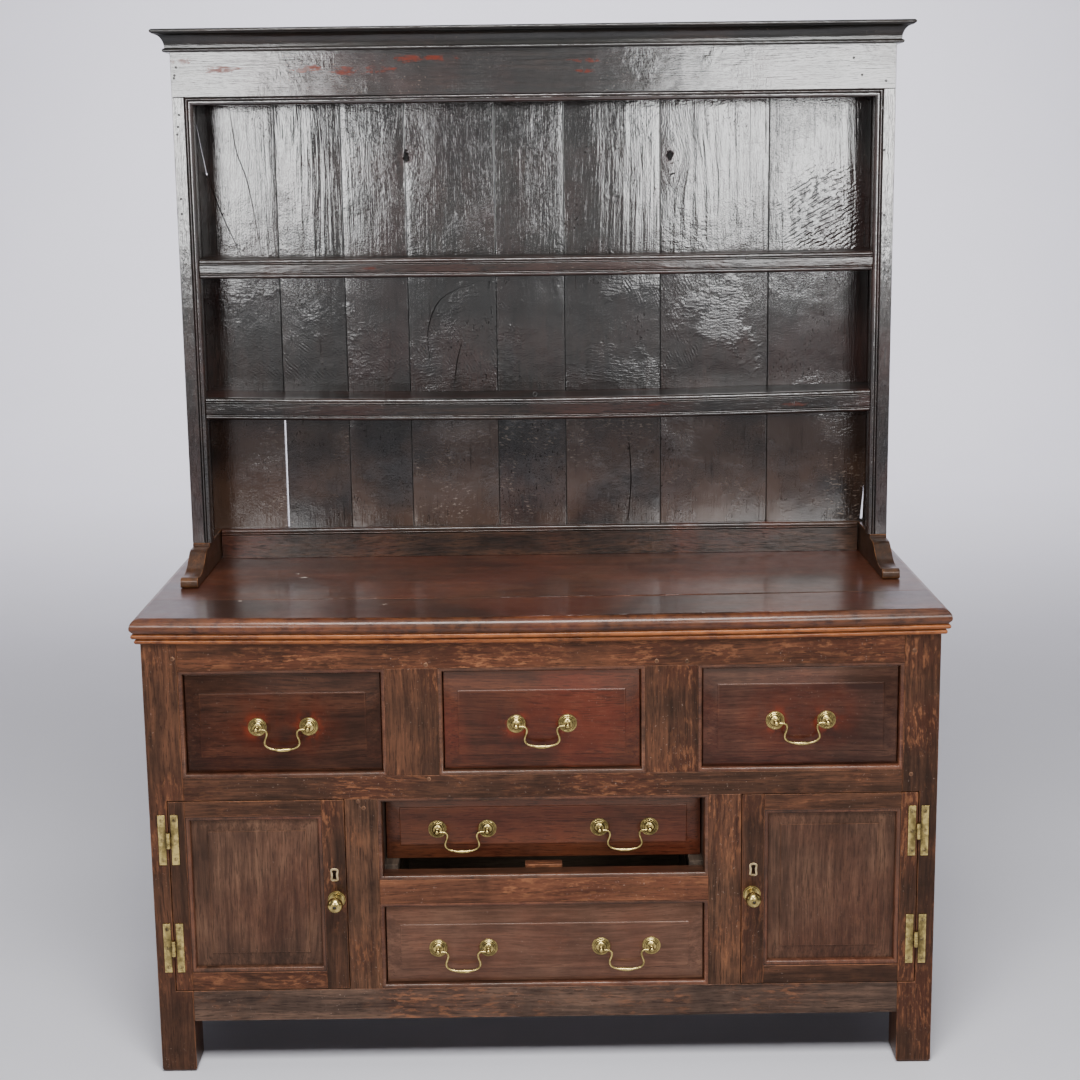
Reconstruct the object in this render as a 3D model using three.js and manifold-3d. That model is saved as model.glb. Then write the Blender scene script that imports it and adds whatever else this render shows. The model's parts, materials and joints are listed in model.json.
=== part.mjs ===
// Oak dresser: an open rack of two shelves standing on a base with five drawers and two cupboards.
// Millimetres. X runs to the right, Z runs up from the floor, Y runs back from the face of the base.
// At the end the whole piece moves along Y so that its origin is below the middle of its box.

import * as THREE from 'three';
import { mergeVertices } from 'three/addons/utils/BufferGeometryUtils.js';
import Module from 'manifold-3d';

const wasm = await Module();
wasm.setup();

// Joints and cutters
const seam = 0.3;
const overrun = 2;

// Base frame
const baseWidth = 1470;
const baseDepth = 490;
const postWidth = 66;
const postDepth = 70;
const legHeight = 104;
const railThickness = 34;
const bottomRailHeight = 61;
const doorOpeningHeight = 379;
const middleRailHeight = 44;
const topBayHeight = 206;
const topRailHeight = 76;
const centreBayWidth = 382;
const upperMuntinWidth = 98;
const drawerBayWidth = 618;
const lowerMuntinWidth = 61;
const lowerBayHeight = 171;
const drawerRailHeight = 47;
const lipWidth = 8;
const lipFall = 6;

// Ends, back and inner boards of the base
const endRailThickness = 30;
const endPanelThickness = 10;
const endPanelInset = 10;
const backThickness = 12;
const backInset = 8;
const floorThickness = 15;
const deckThickness = 14;
const guideHeight = 14;
const guideEase = 1.5;
const partitionThickness = 18;
const partitionEase = 1;
const runnerWidth = 26;
const runnerThickness = 16;
const runnerRise = 8;

// Top of the base
const topThickness = 28;
const topSideOverhang = 15;
const topFrontOverhang = 20;
const topBackOverhang = 4;
const frontBoardWidth = 147;
const thumbWidth = 14;
const thumbFillet = 1.5;
const thumbUnderHeight = 10;
const thumbUnderWidth = 5;
const reedHeight = 22;
const reedBack = 3;
const reedStep = 5;

// Doors
const doorGap = 1.5;
const doorThickness = 22;
const doorLap = 31;
const doorLockStile = 42;
const doorHingeStile = 31;
const doorTopRail = 31;
const doorBottomRail = 35;
const doorLipWidth = 9;
const doorLipFront = 2;
const doorLipMiddle = 8;
const doorLipBack = 11;
const doorPanelBevel = 26;
const doorPanelEdge = 8;
const doorPanelRise = 6;
const doorPanelStep = 1.5;

// Drawers
const drawerGap = 1.2;
const drawerSetback = 2;
const drawerRecess = 53;
const drawerHeadroom = 3;
const drawerFrontThickness = 24;
const drawerBevelDepth = 7;
const drawerFieldStep = 1.5;
const drawerSideBevel = 27;
const drawerHeadBevel = 29;
const drawerWall = 12;
const drawerFloor = 9;
const drawerFloorRise = 7;
const drawerSideDrop = 14;
const drawerEase = 1;

// Handles
const handleSpacing = 95;
const handleDrop = 5;
const pairSpacing = 308;
const roseRadius = 17.5;
const roseThickness = 6.5;
const roseRim = 1.3;
const postNeckRadius = 3.4;
const postReach = 18;
const postBallRadius = 5.2;
const bailRadius = 2.5;
const bailDrop = 39;
const bailGap = 0.4;
const bailGrip = 15;

// Knobs
const knobReach = 40;
const knobRoseRadius = 16.5;
const knobRoseThickness = 3;
const knobNeckRadius = 5;
const knobBallRadius = 14.5;
const knobBallDepth = 11.5;
const knobInset = 19;
const knobHeight = 180;

// H hinges
const leafHeight = 98;
const leafWidth = 14;
const leafThickness = 2;
const leafGap = 5;
const barrelRadius = 4;
const barrelLength = 10;
const pinRadius = 1.5;
const boreRadius = 1.9;
const hingeFromHead = 74;
const hingeFromFoot = 87;

// Rack
const rackInset = 33;
const rackDepth = 145;
const rackHeight = 1072;
const stileFlat = 23;
const stileBead = 16;
const stileBeadDepth = 6;
const stileThickness = 22;
const rackSideThickness = 20;
const rackBackThickness = 12;
const rackTopThickness = 18;
const friezeHeight = 128;
const friezeBead = 16;
const shelfThickness = 20;
const shelfDrop = 2;
const fasciaThickness = 16;
const upperShelfHeight = 631;
const upperFasciaHeight = 38;
const upperShelfSag = 3;
const lowerShelfHeight = 357;
const lowerFasciaHeight = 44;
const lowerShelfSag = 9;
const fasciaBead = 12;
const splashHeight = 62;
const splashThickness = 14;
const splashGap = 2.5;
const splashBead = 14;
const boardGrooveWidth = 2;
const boardGrooveDepth = 3;
const boardSlitWidth = 4;

// Sledge feet of the rack
const footHeight = 60;
const footWidth = 34;
const footReach = 135;
const footNoseHeight = 20;
const footNoseLength = 15;
const footNoseRadius = 9;
const footNeckHeight = 7;
const footNeckStep = 20;
const footCoveDip = 3;

// Cornice
const corniceHeight = 43;
const corniceReach = 31;
const corniceAstragal = 7;
const corniceAstragalReach = 12;
const corniceFillet = 9;
const corniceFilletReach = 3;

// Shares of the sizes that they follow
const boardWidthShares = [0.125, 0.095, 0.092, 0.129, 0.1, 0.14, 0.158, 0.161];
const beadedEdgeShares = [
  [0, 0], [0.06, 0.45], [0.12, 0.2], [0.22, 0.08], [0.32, 0.22], [0.38, 0.5],
  [0.46, 0.28], [0.62, 0.24], [0.8, 0.4], [0.93, 0.7], [1, 1],
];
const lipShares = [[0, 0], [0.12, 0.2], [0.45, 0.3], [0.75, 0.55], [1, 1]];
const roseStepShare = 0.86;
const roseDomeShare = 0.55;
const bailShares = [
  [1, 0], [0.88, 0], [0.75, 0.03], [0.665, 0.17], [0.69, 0.35], [0.75, 0.51],
  [0.765, 0.65], [0.69, 0.81], [0.55, 0.905], [0.35, 0.97], [0, 1],
];
const bailSwellShare = 0.45;
const footStartShare = 0.72;
const footEndShare = 0.35;

// Counts
const roundSides = 16;
const handleSides = 10;
const barrelSides = 12;
const bailSides = 8;
const bailSteps = 30;
const sagSteps = 12;
const curveSteps = 5;

// Places that follow from the sizes
const halfBase = baseWidth / 2;
const postInner = halfBase - postWidth;
const doorFoot = legHeight + bottomRailHeight;
const doorHead = doorFoot + doorOpeningHeight;
const bayFoot = doorHead + middleRailHeight;
const bayHead = bayFoot + topBayHeight;
const baseHeight = bayHead + topRailHeight;
const drawerRailFoot = doorFoot + lowerBayHeight;
const drawerRailHead = drawerRailFoot + drawerRailHeight;
const upperMuntinInner = centreBayWidth / 2;
const upperMuntinOuter = upperMuntinInner + upperMuntinWidth;
const lowerMuntinInner = drawerBayWidth / 2;
const lowerMuntinOuter = lowerMuntinInner + lowerMuntinWidth;
const partitionInner = lowerMuntinInner - lipWidth + partitionEase;
const panelFace = halfBase - endPanelInset;
const backFace = baseDepth - backInset - backThickness;
const drawerLength = backFace - seam - drawerSetback - drawerRecess;
const deckTop = bayFoot + lipWidth;
const lowerRunnerTop = doorFoot + lipWidth;
const upperRunnerTop = drawerRailHead + lipWidth + runnerRise;
const doorInner = lowerMuntinOuter + doorGap;
const doorOuter = postInner + doorLap;
const hingeX = doorOuter + doorGap / 2;
const hingeY = -seam - barrelRadius;
const topBack = baseDepth + topBackOverhang;
const topSurface = baseHeight + topThickness;
const halfTop = halfBase + topSideOverhang;
const halfRack = halfBase - rackInset;
const rackFront = topBack - rackDepth;
const rackBackFace = topBack - rackBackThickness;
const rackFoot = topSurface + seam;
const rackHead = topSurface + rackHeight;
const stileInner = halfRack - stileFlat - stileBead;
const rackSideInner = halfRack - rackSideThickness;
const friezeFoot = rackHead - friezeHeight;
const stileBack = rackFront + stileThickness;

// Finishes
const darkOak = { color: 0x1d1512, roughness: 0.32, metalness: 0 };
const redOak = { color: 0x43231a, roughness: 0.42, metalness: 0 };
const topOak = { color: 0x4a2a20, roughness: 0.3, metalness: 0 };
const innerOak = { color: 0x6b4a33, roughness: 0.8, metalness: 0 };
const brass = { color: 0xa08a4a, roughness: 0.32, metalness: 1 };

const axisX = new THREE.Vector3(1, 0, 0);
const axisY = new THREE.Vector3(0, 1, 0);
const axisZ = new THREE.Vector3(0, 0, 1);

const dresser = new THREE.Group();

// A named piece in its finish
function addPiece(name, geometry, finish) {
  const flat = geometry.index ? geometry.toNonIndexed() : geometry;
  flat.computeVertexNormals();
  const mesh = new THREE.Mesh(flat, new THREE.MeshStandardMaterial(finish));
  mesh.name = name;
  dresser.add(mesh);
}

// The left and right hand of a piece, made by a function of the side
function addPair(name, makeGeometry, finish) {
  addPiece(`${name}_left`, makeGeometry(-1), finish);
  addPiece(`${name}_right`, makeGeometry(1), finish);
}

// The same closed surface with its faces turned outwards
function outward(geometry) {
  const position = geometry.attributes.position;
  const index = geometry.index.array;
  const corners = [new THREE.Vector3(), new THREE.Vector3(), new THREE.Vector3()];
  let volume = 0;
  for (let i = 0; i < index.length; i += 3) {
    corners.forEach((corner, k) => corner.fromBufferAttribute(position, index[i + k]));
    volume += corners[0].dot(corners[1].clone().cross(corners[2]));
  }
  if (volume < 0) {
    for (let i = 0; i < index.length; i += 3) {
      [index[i + 1], index[i + 2]] = [index[i + 2], index[i + 1]];
    }
  }
  return geometry;
}

// A geometry as a solid that can be joined and cut
function solid(geometry) {
  const bare = geometry.clone();
  bare.deleteAttribute('normal');
  bare.deleteAttribute('uv');
  const closed = outward(mergeVertices(bare));
  return new wasm.Manifold(new wasm.Mesh({
    numProp: 3,
    vertProperties: new Float32Array(closed.attributes.position.array),
    triVerts: new Uint32Array(closed.index.array),
  }));
}

// A solid as a geometry
function surface(body) {
  const mesh = body.getMesh();
  const geometry = new THREE.BufferGeometry();
  geometry.setAttribute('position', new THREE.BufferAttribute(mesh.vertProperties, 3));
  geometry.setIndex(new THREE.BufferAttribute(mesh.triVerts, 1));
  return geometry;
}

function join(...geometries) {
  return surface(geometries.map(solid).reduce((body, piece) => body.add(piece)));
}

function cut(geometry, ...cutters) {
  return surface(cutters.map(solid).reduce((body, cutter) => body.subtract(cutter), solid(geometry)));
}

function common(geometry, other) {
  return surface(solid(geometry).intersect(solid(other)));
}

// A block between two corners, each pair of places in either order
function block(x0, x1, y0, y1, z0, z1) {
  const size = [x1 - x0, y1 - y0, z1 - z0].map(Math.abs);
  const geometry = new THREE.BoxGeometry(...size);
  geometry.translate((x0 + x1) / 2, (y0 + y1) / 2, (z0 + z1) / 2);
  return geometry;
}

// A block on one hand of the piece
function sideBlock(side, x0, x1, y0, y1, z0, z1) {
  return block(side * x0, side * x1, y0, y1, z0, z1);
}

// An outline drawn on two axes and drawn out along the third, from one place to another
function drawnOut(points, acrossAxis, upAxis, from, to, steps = 1) {
  const shape = new THREE.Shape(points.map(([across, up]) => new THREE.Vector2(across, up)));
  const geometry = new THREE.ExtrudeGeometry(shape, { depth: to - from, steps, bevelEnabled: false });
  const along = new THREE.Vector3(1, 1, 1).sub(absolute(acrossAxis)).sub(absolute(upAxis));
  geometry.translate(0, 0, from);
  geometry.applyMatrix4(new THREE.Matrix4().makeBasis(acrossAxis, upAxis, along));
  return geometry;
}

function absolute(vector) {
  return new THREE.Vector3(Math.abs(vector.x), Math.abs(vector.y), Math.abs(vector.z));
}

// Points of an arc of an ellipse, in degrees
function arc(centreAcross, centreUp, radiusAcross, radiusUp, from, to, steps = curveSteps) {
  return Array.from({ length: steps + 1 }, (_, i) => {
    const angle = THREE.MathUtils.degToRad(from + ((to - from) * i) / steps);
    return [centreAcross + radiusAcross * Math.cos(angle), centreUp + radiusUp * Math.sin(angle)];
  });
}

// A moulding that runs back along both ends and across the front, mitred at the two corners
function wrapped(profile, halfWidth, front, back) {
  const stations = [
    ([out, up]) => [-halfWidth - out, back, up],
    ([out, up]) => [-halfWidth - out, front - out, up],
    ([out, up]) => [halfWidth + out, front - out, up],
    ([out, up]) => [halfWidth + out, back, up],
  ];
  const count = profile.length;
  const positions = stations.flatMap((place) => profile.flatMap(place));
  const faces = [];
  for (let row = 0; row + 1 < stations.length; row += 1) {
    for (let i = 0; i < count; i += 1) {
      const here = row * count + i;
      const next = row * count + ((i + 1) % count);
      faces.push(here, next, next + count, here, next + count, here + count);
    }
  }
  const outline = profile.map(([out, up]) => new THREE.Vector2(out, up));
  const last = (stations.length - 1) * count;
  const clockwise = THREE.ShapeUtils.isClockWise(outline);
  THREE.ShapeUtils.triangulateShape(outline, []).forEach(([a, b, c]) => {
    const cap = clockwise ? [a, c, b] : [a, b, c];
    faces.push(cap[2], cap[1], cap[0], last + cap[0], last + cap[1], last + cap[2]);
  });
  const geometry = new THREE.BufferGeometry();
  geometry.setAttribute('position', new THREE.Float32BufferAttribute(positions, 3));
  geometry.setIndex(faces);
  return outward(geometry);
}

// A block whose front face is drawn in on all four sides, as a fielded board is
function bevelled(x0, x1, z0, z1, front, back, sideBevel, headBevel) {
  const geometry = block(x0, x1, front, back, z0, z1);
  const position = geometry.attributes.position;
  const middleX = (x0 + x1) / 2;
  const middleZ = (z0 + z1) / 2;
  const middleY = (front + back) / 2;
  for (let i = 0; i < position.count; i += 1) {
    if (position.getY(i) < middleY) {
      position.setX(i, position.getX(i) - Math.sign(position.getX(i) - middleX) * sideBevel);
      position.setZ(i, position.getZ(i) - Math.sign(position.getZ(i) - middleZ) * headBevel);
    }
  }
  return geometry;
}

// A turned shape, its profile given as radius and reach, standing out towards the front
function turned(profile, x, y, z, sides) {
  const geometry = new THREE.LatheGeometry(profile.map(([r, reach]) => new THREE.Vector2(r, reach)), sides);
  geometry.rotateX(Math.PI);
  geometry.translate(x, y, z);
  return geometry;
}

// A round bar standing upright
function uprightBar(x, y, z0, z1, radius) {
  const geometry = new THREE.CylinderGeometry(radius, radius, z1 - z0, barrelSides);
  geometry.rotateX(Math.PI / 2);
  geometry.translate(x, y, (z0 + z1) / 2);
  return geometry;
}

// The moulded lip on the edge of a frame member: a level one runs along X, on a rail
function railLip(x0, x1, edge, direction) {
  const front = lipShares.map(([out, fall]) => [fall * lipFall, edge + direction * out * lipWidth]);
  const back = [[railThickness, edge + direction * lipWidth], [railThickness, edge - direction * overrun]];
  return drawnOut([...front, ...back, [0, edge - direction * overrun]], axisY, axisZ, x0, x1);
}

// An upright one runs along Z, on a post or muntin
function stileLip(z0, z1, edge, direction) {
  const front = lipShares.map(([out, fall]) => [edge + direction * out * lipWidth, fall * lipFall]);
  const back = [[edge + direction * lipWidth, railThickness], [edge - direction * overrun, railThickness]];
  return drawnOut([...front, ...back, [edge - direction * overrun, 0]], axisX, axisY, z0, z1);
}

// Base frame: posts
function frontPost(side) {
  const post = sideBlock(side, postInner, halfBase, 0, postDepth, 0, baseHeight);
  const lip = stileLip(bayFoot + lipWidth + seam, bayHead - lipWidth - seam, side * postInner, -side);
  const notch = sideBlock(
    side, postInner - overrun, doorOuter + doorGap, -overrun, doorThickness + doorGap, doorFoot, doorHead,
  );
  return cut(join(post, lip), notch);
}

function backPost(side) {
  return sideBlock(side, postInner, halfBase, baseDepth - postDepth, baseDepth, 0, baseHeight);
}

// Base frame: rails across the front
const railEnd = postInner - seam;
const bayLips = [
  [-railEnd, -upperMuntinOuter - seam],
  [-upperMuntinInner + seam, upperMuntinInner - seam],
  [upperMuntinOuter + seam, railEnd],
];
const drawerLip = [-lowerMuntinInner + seam, lowerMuntinInner - seam];

function topRail() {
  const rail = block(-railEnd, railEnd, 0, railThickness, bayHead, baseHeight);
  return join(rail, ...bayLips.map(([x0, x1]) => railLip(x0, x1, bayHead, -1)));
}

function middleRail() {
  const rail = block(-railEnd, railEnd, 0, railThickness, doorHead, bayFoot);
  const upper = bayLips.map(([x0, x1]) => railLip(x0, x1, bayFoot, 1));
  return join(rail, ...upper, railLip(...drawerLip, doorHead, -1));
}

function bottomRail() {
  const rail = block(-railEnd, railEnd, 0, railThickness, legHeight, doorFoot);
  return join(rail, railLip(...drawerLip, doorFoot, 1));
}

function drawerRail() {
  const [x0, x1] = drawerLip;
  const rail = block(x0, x1, 0, railThickness, drawerRailFoot, drawerRailHead);
  return join(rail, railLip(x0, x1, drawerRailHead, 1), railLip(x0, x1, drawerRailFoot, -1));
}

// Base frame: muntins between the drawers and beside the doors
function upperMuntin(side) {
  const inner = side * upperMuntinInner;
  const outer = side * upperMuntinOuter;
  const muntin = block(inner, outer, 0, railThickness, bayFoot + seam, bayHead - seam);
  const lips = [[inner, -side], [outer, side]].map(([edge, direction]) => (
    stileLip(deckTop + seam, bayHead - lipWidth - seam, edge, direction)
  ));
  return join(muntin, ...lips);
}

function lowerMuntin(side) {
  const inner = side * lowerMuntinInner;
  const muntin = block(inner, side * lowerMuntinOuter, 0, railThickness, doorFoot + seam, doorHead - seam);
  const bays = [
    [doorFoot + lipWidth + seam, drawerRailFoot - lipWidth - seam],
    [drawerRailHead + lipWidth + seam, doorHead - lipWidth - seam],
  ];
  return join(muntin, ...bays.map(([z0, z1]) => stileLip(z0, z1, inner, -side)));
}

// Ends: a frame of three rails with two thin panels in it
const endFront = postDepth + seam;
const endBack = baseDepth - postDepth - seam;

function endPanel(side) {
  const endRail = (z0, z1) => (
    sideBlock(side, halfBase - endRailThickness, halfBase, endFront, endBack, z0, z1)
  );
  const rails = [[legHeight, doorFoot], [doorHead, bayFoot], [bayHead, baseHeight]];
  const panel = sideBlock(
    side, panelFace - endPanelThickness, panelFace, endFront, endBack,
    legHeight + overrun, baseHeight - overrun,
  );
  return join(panel, ...rails.map(([z0, z1]) => endRail(z0, z1)));
}

function baseBack() {
  return block(-railEnd, railEnd, backFace, baseDepth - backInset, legHeight, baseHeight);
}

// A level board that fills the base between its posts and, between them, out to the end rails
function innerBoard(z0, z1) {
  const half = halfBase - endRailThickness - seam;
  return join(
    block(-railEnd, railEnd, railThickness + seam, backFace - seam, z0, z1),
    block(-half, half, endFront, endBack, z0, z1),
  );
}

// The board under the top drawers, with the guides that keep the drawers straight
function drawerDeck() {
  const front = railThickness + seam;
  const back = backFace - seam;
  const head = deckTop + guideHeight;
  const inner = upperMuntinInner - lipWidth + guideEase;
  const outer = upperMuntinOuter + lipWidth - guideEase;
  const edge = postInner - lipWidth + guideEase;
  const guides = [-1, 1].flatMap((side) => [
    sideBlock(side, inner, outer, front, back, deckTop - overrun, head),
    sideBlock(side, edge, railEnd, front, back, deckTop - overrun, head),
  ]);
  return join(innerBoard(deckTop - deckThickness, deckTop), ...guides);
}

// A partition between cupboard and drawers, with the two runners that it carries
function partition(side) {
  const front = railThickness + seam;
  const back = backFace - seam;
  const foot = doorFoot + seam;
  const runner = (z0, z1) => (
    sideBlock(side, partitionInner - runnerWidth, partitionInner + overrun, front, back, z0, z1)
  );
  return join(
    sideBlock(side, partitionInner, partitionInner + partitionThickness, front, back, foot,
      deckTop - deckThickness - seam),
    runner(foot, lowerRunnerTop),
    runner(upperRunnerTop - runnerThickness, upperRunnerTop),
  );
}

// Top of the base, with a thumbnail edge on its front and ends, sawn into two boards
function topSlab() {
  const half = halfTop - thumbWidth;
  const front = -topFrontOverhang + thumbWidth;
  const foot = baseHeight + seam;
  const edge = [
    [-overrun, foot],
    [thumbWidth - thumbUnderWidth, foot],
    [thumbWidth, foot + thumbUnderHeight],
    ...arc(0, foot + thumbUnderHeight, thumbWidth, topSurface - thumbFillet - foot - thumbUnderHeight, 0, 90),
    [0, topSurface],
    [-overrun, topSurface],
  ];
  return join(block(-half, half, front, topBack, foot, topSurface), wrapped(edge, half, front, topBack));
}

function topBoard(y0, y1) {
  const half = halfTop + overrun;
  return common(topSlab(), block(-half, half, y0, y1, baseHeight - overrun, topSurface + overrun));
}

// Two reeds under the top, round its front and ends
function topMoulding() {
  const foot = baseHeight - reedHeight;
  const radius = reedHeight / 4;
  const middle = foot + reedHeight / 2;
  const profile = [
    [0, foot],
    ...arc(reedBack, foot + radius, radius, radius, -90, 90),
    ...arc(reedBack + reedStep, middle + radius, radius, radius, -90, 90),
    [0, baseHeight],
  ];
  return wrapped(profile, halfBase + seam, -seam, baseDepth);
}

// Doors
const doorBottom = doorFoot + doorGap;
const doorTop = doorHead - doorGap;
const panelInner = doorInner + doorLockStile;
const panelOuter = doorOuter - doorHingeStile;
const panelFoot = doorBottom + doorBottomRail;
const panelHead = doorTop - doorTopRail;

// A block over a door's panel opening, drawn in on all four sides
function overPanel(side, drawnIn, front, back) {
  return sideBlock(
    side, panelInner + drawnIn, panelOuter - drawnIn, front, back, panelFoot + drawnIn, panelHead - drawnIn,
  );
}

function doorFrame(side) {
  const [left, right] = ordered(side * (panelInner + doorLipWidth), side * (panelOuter - doorLipWidth));
  const splay = bevelled(
    left, right, panelFoot + doorLipWidth, panelHead - doorLipWidth,
    doorLipFront, doorLipMiddle, -doorLipWidth, -doorLipWidth,
  );
  return cut(
    sideBlock(side, doorInner, doorOuter, 0, doorThickness, doorBottom, doorTop),
    overPanel(side, 0, doorLipBack, doorThickness + overrun),
    overPanel(side, 0, -overrun, doorLipFront),
    overPanel(side, doorLipWidth, -overrun, doorThickness),
    splay,
  );
}

function doorPanel(side) {
  const edge = doorLipBack + seam;
  const drawnIn = doorLipWidth + seam;
  const [left, right] = ordered(side * (panelInner + drawnIn), side * (panelOuter - drawnIn));
  const slope = bevelled(
    left, right, panelFoot + drawnIn, panelHead - drawnIn,
    edge - doorPanelRise, edge + overrun, doorPanelBevel, doorPanelBevel,
  );
  const field = overPanel(
    side, drawnIn + doorPanelBevel, edge - doorPanelRise - doorPanelStep, edge,
  );
  return join(overPanel(side, seam, edge, edge + doorPanelEdge), slope, field);
}

function ordered(a, b) {
  return [Math.min(a, b), Math.max(a, b)];
}

function knob(side) {
  const ballReach = knobReach - knobBallDepth;
  const profile = [
    [0, seam],
    [knobRoseRadius, seam],
    [knobRoseRadius, seam + knobRoseThickness / 2],
    [knobRoseRadius - knobRoseThickness, seam + knobRoseThickness],
    [knobNeckRadius, seam + knobRoseThickness],
    [knobNeckRadius, ballReach - knobBallDepth],
    ...arc(0, ballReach, knobBallRadius, knobBallDepth, -60, 90).slice(0, -1),
    [0, knobReach],
  ];
  return turned(profile, side * (doorInner + knobInset), 0, doorBottom + knobHeight, roundSides);
}

// H hinges: each leaf is a flat plate with arms to the barrels round the pin
const hingeHeights = { upper: doorTop - hingeFromHead, lower: doorBottom + hingeFromFoot };

// One leaf, on the post or on the door, with barrels at the heights given
function hingeLeaf(side, direction, z, barrels) {
  const near = hingeX + direction * leafGap;
  const front = -seam - leafThickness;
  const plate = sideBlock(side, near, near + direction * leafWidth, front, -seam, z - leafHeight / 2,
    z + leafHeight / 2);
  const knuckles = barrels.flatMap(([z0, z1]) => [
    sideBlock(side, hingeX, near + direction * overrun, front, -seam, z0, z1),
    uprightBar(side * hingeX, hingeY, z0, z1, barrelRadius),
  ]);
  return join(plate, ...knuckles);
}

function postLeaf(side, z) {
  const near = barrelLength / 2 + seam;
  const far = near + barrelLength;
  const pin = uprightBar(side * hingeX, hingeY, z - far + overrun, z + far - overrun, pinRadius);
  return join(hingeLeaf(side, 1, z, [[z - far, z - near], [z + near, z + far]]), pin);
}

function doorLeaf(side, z) {
  const half = barrelLength / 2;
  const bore = uprightBar(side * hingeX, hingeY, z - half - overrun, z + half + overrun, boreRadius);
  return cut(hingeLeaf(side, -1, z, [[z - half, z + half]]), bore);
}

// Handles: a domed rose with a neck and a ball, two to a handle
function handlePost(x, z, face) {
  const ballFoot = postReach - Math.sqrt(postBallRadius ** 2 - postNeckRadius ** 2);
  const profile = [
    [0, -overrun],
    [roseRadius, -overrun],
    [roseRadius, roseRim],
    [roseRadius * roseStepShare, roseRim * 2],
    [roseRadius * roseDomeShare, roseThickness - roseRim],
    [postNeckRadius, roseThickness],
    [postNeckRadius, ballFoot],
    ...arc(0, postReach, postBallRadius, postBallRadius, -20, 90, 4).slice(0, -1),
    [0, postReach + postBallRadius],
  ];
  return turned(profile, x, face, z, handleSides);
}

// A bail hangs between the balls, with a swan neck at each end and a thicker grip in the middle
function bail({ x, z, face }) {
  const end = handleSpacing / 2 - postBallRadius - bailGap;
  const half = bailShares.map(([across, down]) => [across * end, -down * bailDrop]);
  const mirrored = half.slice(0, -1).reverse();
  const curve = new THREE.CatmullRomCurve3([
    ...half.map(([across, height]) => new THREE.Vector3(-across, 0, height)),
    ...mirrored.map(([across, height]) => new THREE.Vector3(across, 0, height)),
  ]);
  const section = new THREE.Shape();
  section.absarc(0, 0, bailRadius, 0, Math.PI * 2);
  const geometry = new THREE.ExtrudeGeometry(section, {
    steps: bailSteps, curveSegments: bailSides / 2, bevelEnabled: false, extrudePath: curve,
  });
  const position = geometry.attributes.position;
  for (let i = 0; i < position.count; i += 1) {
    const along = Math.min(1, Math.abs(position.getX(i)) / bailGrip);
    const swell = 1 + bailSwellShare * (1 - along * along);
    position.setY(i, position.getY(i) * swell);
    position.setZ(i, (position.getZ(i) + bailDrop) * swell - bailDrop);
  }
  geometry.translate(x, face - postReach, z);
  return join(geometry);
}

// Drawers: a fielded front with an open box behind it and the posts of its handles
const topDrawerFoot = deckTop + seam;
const topDrawerHead = bayHead - lipWidth - drawerGap;
const centreDrawerHalf = upperMuntinInner - lipWidth - drawerGap;
const sideDrawerInner = upperMuntinOuter + lipWidth + drawerGap;
const sideDrawerOuter = postInner - lipWidth - drawerGap;
const wideDrawerHalf = lowerMuntinInner - lipWidth - drawerGap;
const topDrawer = { z: [topDrawerFoot, topDrawerHead], handles: 1, recess: 0 };
const drawers = {
  left: { x: [-sideDrawerOuter, -sideDrawerInner], ...topDrawer },
  centre: { x: [-centreDrawerHalf, centreDrawerHalf], ...topDrawer },
  right: { x: [sideDrawerInner, sideDrawerOuter], ...topDrawer },
  upper: {
    x: [-wideDrawerHalf, wideDrawerHalf],
    z: [upperRunnerTop + seam, doorHead - lipWidth - drawerHeadroom],
    handles: 2,
    recess: drawerRecess,
  },
  lower: {
    x: [-wideDrawerHalf, wideDrawerHalf],
    z: [lowerRunnerTop + seam, drawerRailFoot - lipWidth - drawerGap],
    handles: 2,
    recess: 0,
  },
};

// The middle of each handle of a drawer
function handlePlaces({ x, z, handles, recess }) {
  const middle = (x[0] + x[1]) / 2;
  const height = (z[0] + z[1]) / 2 - handleDrop;
  const offsets = handles === 1 ? [0] : [-pairSpacing / 2, pairSpacing / 2];
  return offsets.map((offset) => ({ x: middle + offset, z: height, face: drawerSetback + recess }));
}

function drawer(place) {
  const [x0, x1] = place.x;
  const [z0, z1] = place.z;
  const face = drawerSetback + place.recess;
  const slopeFront = face + drawerFieldStep;
  const slopeBack = slopeFront + drawerBevelDepth;
  const boxFront = face + drawerFrontThickness;
  const boxBack = face + drawerLength;
  const left = x0 + drawerEase;
  const right = x1 - drawerEase;
  const floorFoot = z0 + drawerFloorRise;
  const box = cut(
    block(left, right, boxFront - overrun, boxBack, z0, z1 - drawerSideDrop),
    block(left + drawerWall, right - drawerWall, boxFront, boxBack - drawerWall, floorFoot + drawerFloor, z1),
    block(left + drawerWall, right - drawerWall, boxFront, boxBack - drawerWall, z0 - overrun, floorFoot),
  );
  const posts = handlePlaces(place).flatMap(({ x, z }) => [
    handlePost(x - handleSpacing / 2, z, face),
    handlePost(x + handleSpacing / 2, z, face),
  ]);
  return join(
    box,
    block(x0, x1, slopeBack, boxFront, z0, z1),
    bevelled(x0, x1, z0, z1, slopeFront, slopeBack, drawerSideBevel, drawerHeadBevel),
    block(
      x0 + drawerSideBevel, x1 - drawerSideBevel, face, slopeBack,
      z0 + drawerHeadBevel, z1 - drawerHeadBevel,
    ),
    ...posts,
  );
}

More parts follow.
